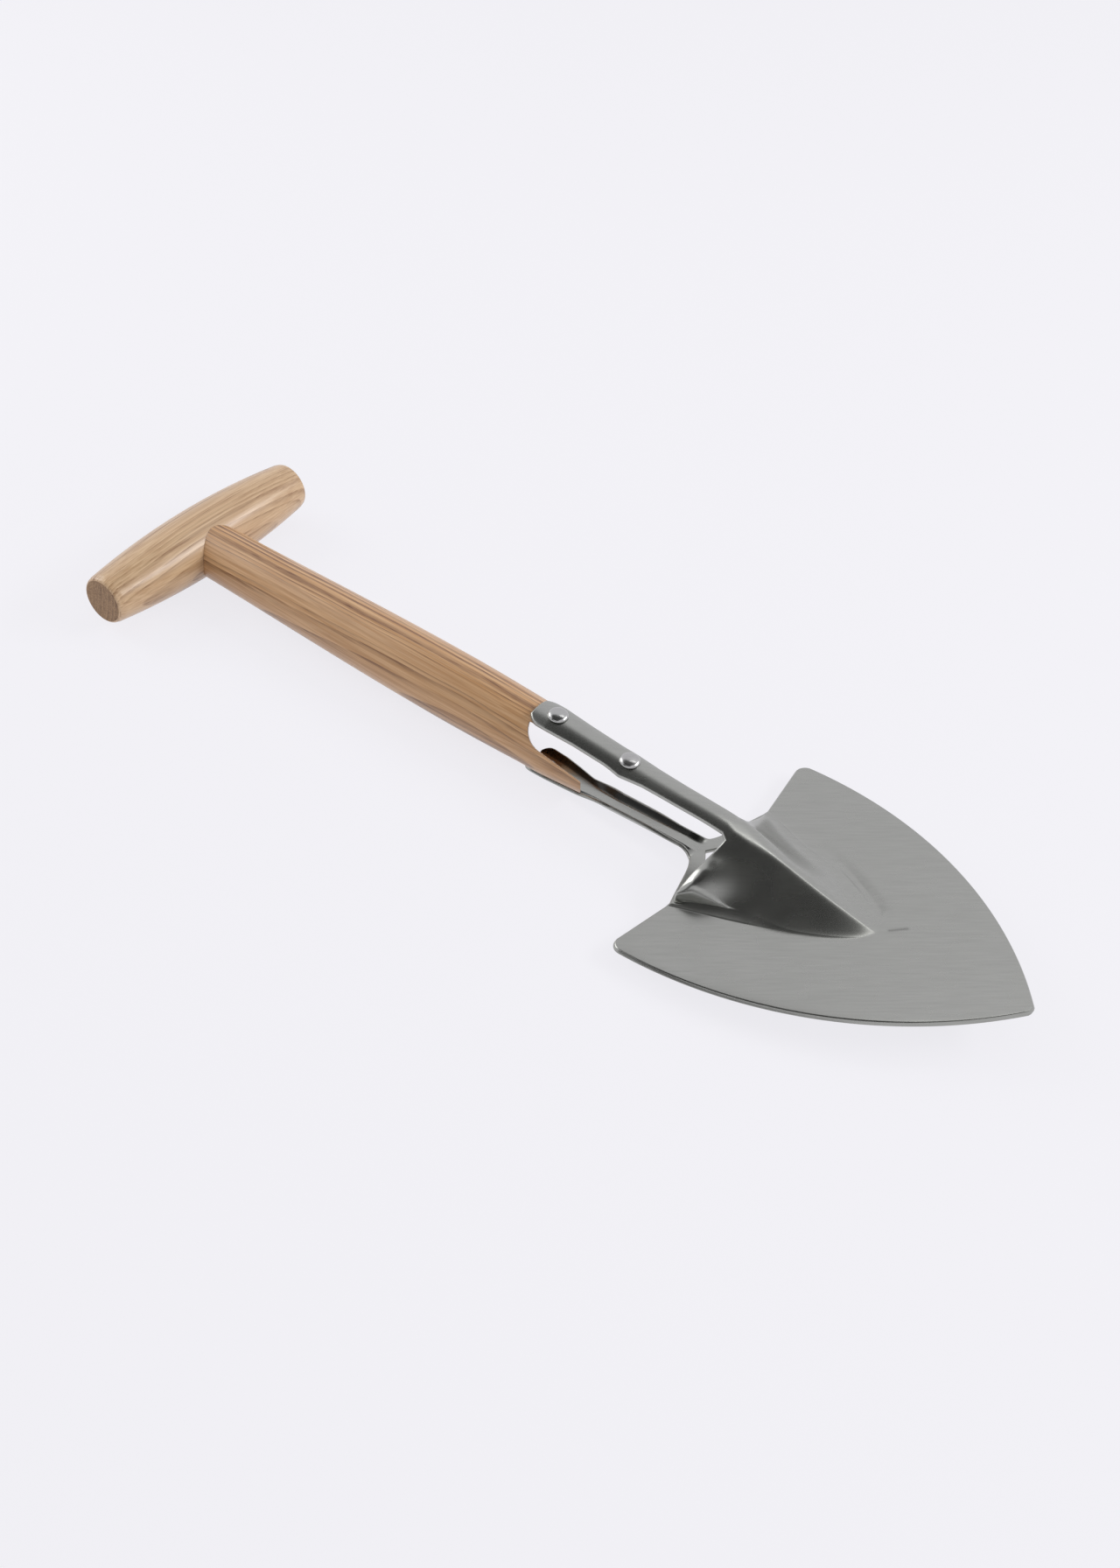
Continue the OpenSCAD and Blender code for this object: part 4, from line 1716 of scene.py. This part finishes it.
@dataclass
class BackStrap:
    """Channel behind the shaft that splits at the neck into two wings on the blade's back.

    A pull bends a wing's edge: its side distance, and how far before the neck it lies. The width,
    the curve and the floor are shares along the strap.
    """

    lay: Layout
    half_w: float = 9.8
    end_r: float = 5.0
    edge_r: float = 0.7
    fork_part: float = 0.793
    crotch: float = 0.3
    split_back: float = 13.0
    wing_end_x: float = 49.3
    outer_pull: tuple = ((5.0, 10.0), (18.0, 12.6))
    outer_end: float = 1.3
    inner_pull: tuple = ((4.0, 10.5), (14.0, 1.5))
    inner_end: float = -5.3
    wing_flat_from: float = 3.5
    sheet_ease: float = 0.03
    rim_legs: tuple = ((0.7, 90, 0.57), (0.7, 180, 0.0))
    floor_half_w: float = 3.0
    end_part: float = 0.043
    end_steps: int = 12
    strap_steps: int = 90
    flare_steps: int = 16
    wing_steps: int = 40
    cols: int = 14
    width: tuple = (
        (0, 0.93),
        (0.05, 0.98),
        (0.12, 0.95),
        (0.2, 0.83),
        (0.284, 0.68),
        (0.44, 0.57),
        (0.733, 0.545),
        (0.8, 0.552),
    )
    curve: tuple = ((0, 1), (0.095, 1), (0.284, 0.73), (0.44, 0.52), (0.733, 0.48), (0.8, 0.55))
    floor: tuple = ((0, 1), (0.095, 1), (0.284, 1.01), (0.44, 0.985), (0.733, 0.855), (0.8, 0.82))

    def channel(self, x: float, u: float) -> float:
        """Height of the channel's inner face: round at the shaft, then flat with steep walls.

        Args:
            x: side distance.
            u: place along the strap, from 0 to 1.

        Returns:
            The height over the shaft's axis.
        """
        r0 = self.lay.low_d / 2 + self.lay.seat_gap
        r = r0 * table(u, self.curve)
        floor = -r0 * table(u, self.floor)
        bowl = r - math.sqrt(max(0.0, r * r - x * x))
        past = abs(x) - self.floor_half_w
        steep = mix(1.7, 1.1, ease((u - 0.6) / 0.2))
        trough = steep * 0.35 * math.log(1 + math.exp(past / 0.35))
        return floor + mix(bowl, trough, ease((u - 0.26) / 0.2))

    def strap_row(self, u: float) -> list[Point]:
        """Lays one row across the channel.

        Args:
            u: place along the strap, from 0 to 1.

        Returns:
            The row's points in millimetres.
        """
        along = u * self.lay.strap_len
        w = rounded_end(self.half_w * table(u, self.width), along, self.end_r) - self.edge_r
        row = []
        for k in range(-self.cols, self.cols + 1):
            x = w * k / self.cols
            row.append(self.lay.at(x, self.lay.strap_start + along, self.channel(x, u)))
        return row

    def painted_shade_share(self, x: float, s: float) -> float:
        """Share of painted shade on the channel's steep inner walls.

        Args:
            x: side distance.
            s: station.

        Returns:
            1 on the walls, and 0 on the floor and on the wings.
        """
        u = (s - self.lay.strap_start) / self.lay.strap_len
        w = self.half_w * table(u, self.width) - self.edge_r
        return ease((abs(x) / w - 0.55) / 0.12) * ease((0.87 - u) / 0.05)

    def wing_row(self, side: int, t: float) -> list[Point]:
        """Lays one row across a wing, from the middle outwards.

        Args:
            side: -1 or 1, the wing's side.
            t: place along the wing, from 0 at the fork to 1 at its end.

        Returns:
            The row's points in millimetres.
        """
        lay = self.lay
        neck, fork_at = lay.neck, lay.strap_start + self.fork_part * lay.strap_len
        split, end_x = neck - self.split_back, self.wing_end_x
        root_w = table(self.fork_part, self.width) * self.half_w - self.edge_r
        outer = [(x, neck - back) for x, back in (*self.outer_pull, (end_x, self.outer_end))]
        inner = [(x, neck - back) for x, back in (*self.inner_pull, (end_x, self.inner_end))]
        far = bezier([(root_w, fork_at), *outer], t)
        if t > self.crotch:
            near = bezier([(0.0, split), *inner], (t - self.crotch) / (1 - self.crotch))
        else:
            near = (0.0, mix(fork_at, split, t / self.crotch))
        sheet = lay.sheet_t / math.cos(math.radians(lay.blade_lift))
        flat_part = ease(self.wing_flat_from * t)
        row = []
        for k in range(self.cols + 1):
            x, s = mix(near[0], far[0], k / self.cols), mix(near[1], far[1], k / self.cols)
            flat = lay.face_z(s) - sheet - lay.seat_gap
            row.append(lay.at(side * x, s, mix(self.channel(x, self.fork_part), flat, flat_part)))
        return row

    def build(self, finishes: Finishes) -> list[bpy.types.Object]:
        """Builds the back strap.

        Args:
            finishes: the spade's finishes.

        Returns:
            The strap with its wings.
        """
        net = Net(self.lay.sheet_t - self.sheet_ease, turned_rim(self.rim_legs))
        span = (self.edge_r / self.lay.strap_len, self.end_part, self.fork_part)
        stops = end_stops(span, self.end_steps, self.strap_steps)
        rows = [self.strap_row(u) for u in stops]
        for j in range(1, self.flare_steps + 1):
            t = self.crotch * j / self.flare_steps
            rows.append(self.wing_row(-1, t)[:0:-1] + self.wing_row(1, t))
        root = net.strip(rows)
        places = [mix(self.crotch, 1, j / self.wing_steps) for j in range(1, self.wing_steps + 1)]
        for side, part in ((-1, root[: self.cols + 1]), (1, root[self.cols :])):
            net.strip((self.wing_row(side, t)[::side] for t in places), part)
        strap = net.build("back_channel_strap")
        smooth(strap, 40)
        # Painted shade: darkens the steep inner walls of the channel.
        set_painted_shade(strap, (self.painted_shade_share(x, self.lay.grip_y - y) for x, y, _ in net.top))
        return [dress(strap, finishes.steel, "satin_steel", "back_strap")]


@dataclass(frozen=True)
class DarkCard:
    """Curved dark card over the camera that only polished metal shows, as a black flag does.

    It is cut back where the flat blade would mirror it in other views. Its turn runs in degrees
    from level at -X up and over the spade, and its ends lie along Y, in millimetres.
    """

    radius: float = 1300.0
    steps: int = 60
    first_turn: float = 3.0
    last_turn: float = 118.0
    low: float = -900.0
    high: float = 800.0
    cut_low: float = 200.0
    cut_high: float = 620.0
    last_high: float = 420.0
    cut_turns: tuple = (11.0, 15.0)
    low_back_turns: tuple = (30.0, 38.0)
    high_back_turns: tuple = (58.0, 66.0)
    last_turns: tuple = (95.0, 118.0)
    tone_span: tuple = (-1.3, 0.61)
    tones: tuple = ((0.0, 0.1), (0.35, 0.075), (0.78, 0.08), (0.93, 0.14), (1.0, 0.3))

    def ends(self, turn: float) -> tuple[float, float]:
        """Finds the card's two ends.

        Args:
            turn: the place round the card in degrees.

        Returns:
            The lower and the higher end along Y.
        """
        start = rise(turn, self.cut_turns)
        low = mix(self.low, self.cut_low, start * (1 - rise(turn, self.low_back_turns)))
        high = mix(self.high, self.cut_high, start * (1 - rise(turn, self.high_back_turns)))
        return low, mix(high, self.last_high, rise(turn, self.last_turns))

    def grey(self) -> bpy.types.Material:
        """Builds matt grey card with an even glow of its own, lighter towards its upper edge.

        Returns:
            The material.
        """
        material = bpy.data.materials.new("grey_card")
        tree = bare_tree(material)
        place = add_node(tree, "ShaderNodeTexCoord").outputs["Object"]
        side = add_node(tree, "ShaderNodeSeparateXYZ", None, in_0=place).outputs["X"]
        across = spread(tree, side, self.tone_span)
        tones = [(at, (v, v, v, 1)) for at, v in self.tones]
        grey = add_node(tree, "ShaderNodeValToRGB", {"stops": tones}, Fac=across)
        glow = add_node(tree, "ShaderNodeEmission", None, Color=grey.outputs[0])
        add_node(tree, "ShaderNodeOutputMaterial", None, Surface=glow.outputs[0])
        return material

    def build(self) -> bpy.types.Object:
        """Adds the card to the stage.

        Returns:
            The card.
        """
        points: list[Point] = []
        for i in range(self.steps + 1):
            turn = mix(self.first_turn, self.last_turn, i / self.steps)
            a = math.radians(turn)
            x, z = -self.radius * math.cos(a), self.radius * math.sin(a)
            points += [(x, y, z) for y in self.ends(turn)]
        faces = [(2 * i, 2 * i + 1, 2 * i + 3, 2 * i + 2) for i in range(self.steps)]
        card = mesh_object("dark_card", points, faces)
        card.data.materials.append(self.grey())
        card.visible_camera = False
        card.visible_diffuse = False
        card.visible_shadow = False
        card.visible_transmission = False
        return card


@dataclass
class Studio:
    """Pale sweep, soft lamps and the camera at the photograph's view."""

    pale: str = "#EFEEF3"
    floor_glow: str = "#F6F5FA"
    glow_share: float = 0.85
    floor_half: float = 9000.0
    camera_at: Point = (-0.63166, -0.43176, 0.71032)
    right: Point = (0.610412, -0.789371, 0.065502)
    up: Point = (0.512936, 0.456949, 0.726701)
    ahead: Point = (0.603568, 0.409988, -0.683824)
    lens: float = 48.586
    fill: float = 0.46

    def build(self) -> None:
        """Builds the whole studio."""
        self.camera()
        self.world()
        self.floor()
        side = self.lamp(
            "side_softbox",
            at=(1.0, -1.25, 1.05),
            target=(0.0, 0.0, 0.0),
            size=(0.4, 1.2),
            power=15.0,
        )
        self.keep_off(side, "pressed_blade", "back_channel_strap")
        self.lamp(
            "crest_strip",
            at=(0.87, -0.1, 1.45),
            target=(0.0, -0.17, 0.0),
            size=(0.12, 0.7),
            power=0.9,
        )
        self.lamp(
            "mouth_kicker",
            at=(-0.15, 1.15, 0.65),
            target=(0.0, -0.1, 0.0),
            size=(0.7, 0.7),
            power=4.5,
        )
        DarkCard().build()
        bpy.context.scene.view_settings.view_transform = "Standard"

    def camera(self) -> None:
        """Puts the camera where the photograph was taken."""
        data = bpy.data.cameras.new("view_of_the_photo")
        data.lens = self.lens
        data.sensor_width = 36.0
        data.clip_start, data.clip_end = 0.01, 20.0
        made = bpy.data.objects.new("view_of_the_photo", data)
        rows = [(self.right[i], self.up[i], -self.ahead[i], self.camera_at[i]) for i in range(3)]
        made.matrix_world = Matrix((*rows, (0, 0, 0, 1)))
        bpy.context.scene.collection.objects.link(made)
        bpy.context.scene.camera = made

    def seen(self, tree: bpy.types.NodeTree) -> bpy.types.NodeSocket:
        """Tells the rays that show the pale background from those that only light the spade.

        Args:
            tree: the node tree.

        Returns:
            The socket that is 1 for camera, glossy and transmission rays.
        """
        path = add_node(tree, "ShaderNodeLightPath")
        shown = path.outputs["Is Camera Ray"]
        for ray in ("Is Glossy Ray", "Is Transmission Ray"):
            shown = calc(tree, "MAXIMUM", shown, path.outputs[ray])
        return shown

    def world(self) -> None:
        """Pale background, with a plain fill light for every other ray."""
        world = bpy.data.worlds.new("pale_studio")
        bpy.context.scene.world = world
        tree = bare_tree(world)
        pale = {"Color": linear(self.pale), "Strength": 1.0}
        plain = {"Color": (1, 1, 1, 1), "Strength": self.fill}
        shown = add_node(tree, "ShaderNodeBackground", {"inputs": pale})
        light = add_node(tree, "ShaderNodeBackground", {"inputs": plain})
        both = mix_shaders(tree, self.seen(tree), light, shown)
        add_node(tree, "ShaderNodeOutputWorld", None, Surface=both)

    def floor(self) -> None:
        """Pale floor that keeps a soft shadow."""
        half = self.floor_half
        corners = [(-half, -half, 0), (half, -half, 0), (half, half, 0), (-half, half, 0)]
        floor = mesh_object("pale_floor", corners, [(0, 1, 2, 3)])
        material = bpy.data.materials.new("matt_paper")
        tree = bare_tree(material)
        paper = add_node(tree, "ShaderNodeBsdfDiffuse", {"inputs": {"Color": linear(self.pale)}})
        own_light = {"Color": linear(self.floor_glow), "Strength": 1.0}
        glow = add_node(tree, "ShaderNodeEmission", {"inputs": own_light})
        share = calc(tree, "MULTIPLY", self.seen(tree), self.glow_share)
        both = mix_shaders(tree, share, paper, glow)
        add_node(tree, "ShaderNodeOutputMaterial", None, Surface=both)
        floor.data.materials.append(material)

    def keep_off(self, lamp: bpy.types.Object, *pieces: str) -> None:
        """Flags a lamp off some pieces, so that no side of the flat steel shows its glare.

        Args:
            lamp: the lamp.
            pieces: names of the pieces that it doesn't light.
        """
        flagged = bpy.data.collections.new(f"flagged_off_{lamp.name}")
        lamp.light_linking.receiver_collection = flagged
        for name in pieces:
            flagged.objects.link(bpy.data.objects[name])
        for member in flagged.collection_objects:
            member.light_linking.link_state = "EXCLUDE"

    def lamp(
        self, name: str, at: Point, target: Point, size: tuple[float, float], power: float
    ) -> bpy.types.Object:
        """Adds a soft lamp.

        Args:
            name: the lamp's name.
            at: its place in metres.
            target: the point that it faces.
            size: its height and width in metres.
            power: its power in watts.

        Returns:
            The lamp.
        """
        data = bpy.data.lights.new(name, "AREA")
        data.shape = "RECTANGLE"
        data.size_y, data.size = size
        data.energy = power
        made = bpy.data.objects.new(name, data)
        made.location = at
        made.rotation_mode = "QUATERNION"
        made.rotation_quaternion = (Vector(target) - Vector(at)).to_track_quat("-Z", "Y")
        bpy.context.scene.collection.objects.link(made)
        return made


def main() -> None:
    """Builds the spade and its studio."""
    logging.basicConfig(level=logging.INFO, format="%(name)s: %(message)s")
    lay = Layout()
    finishes = Finishes()
    rivets = [
        Rivet(lay, station=241.5, seat=5.7, which="upper"),
        Rivet(lay, station=284.9, seat=4.7, which="lower"),
    ]
    screws = [
        BackScrew(lay, station=232.5, which="upper", slot_turn=25.0),
        BackScrew(lay, station=240.0, which="lower", slot_turn=-40.0),
    ]
    CrossGrip(lay).build(finishes)
    Shaft(lay).build(finishes, rivets)
    PressedBlade(lay).build(finishes)
    BackStrap(lay).build(finishes)
    for fastening in [*rivets, *screws]:
        fastening.build(finishes)
    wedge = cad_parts["tenon_wedge"]
    wedge.data.materials.clear()
    wedge.data.materials.append(finishes.wedge)
    Studio().build()


if __name__ == "__main__":
    main()
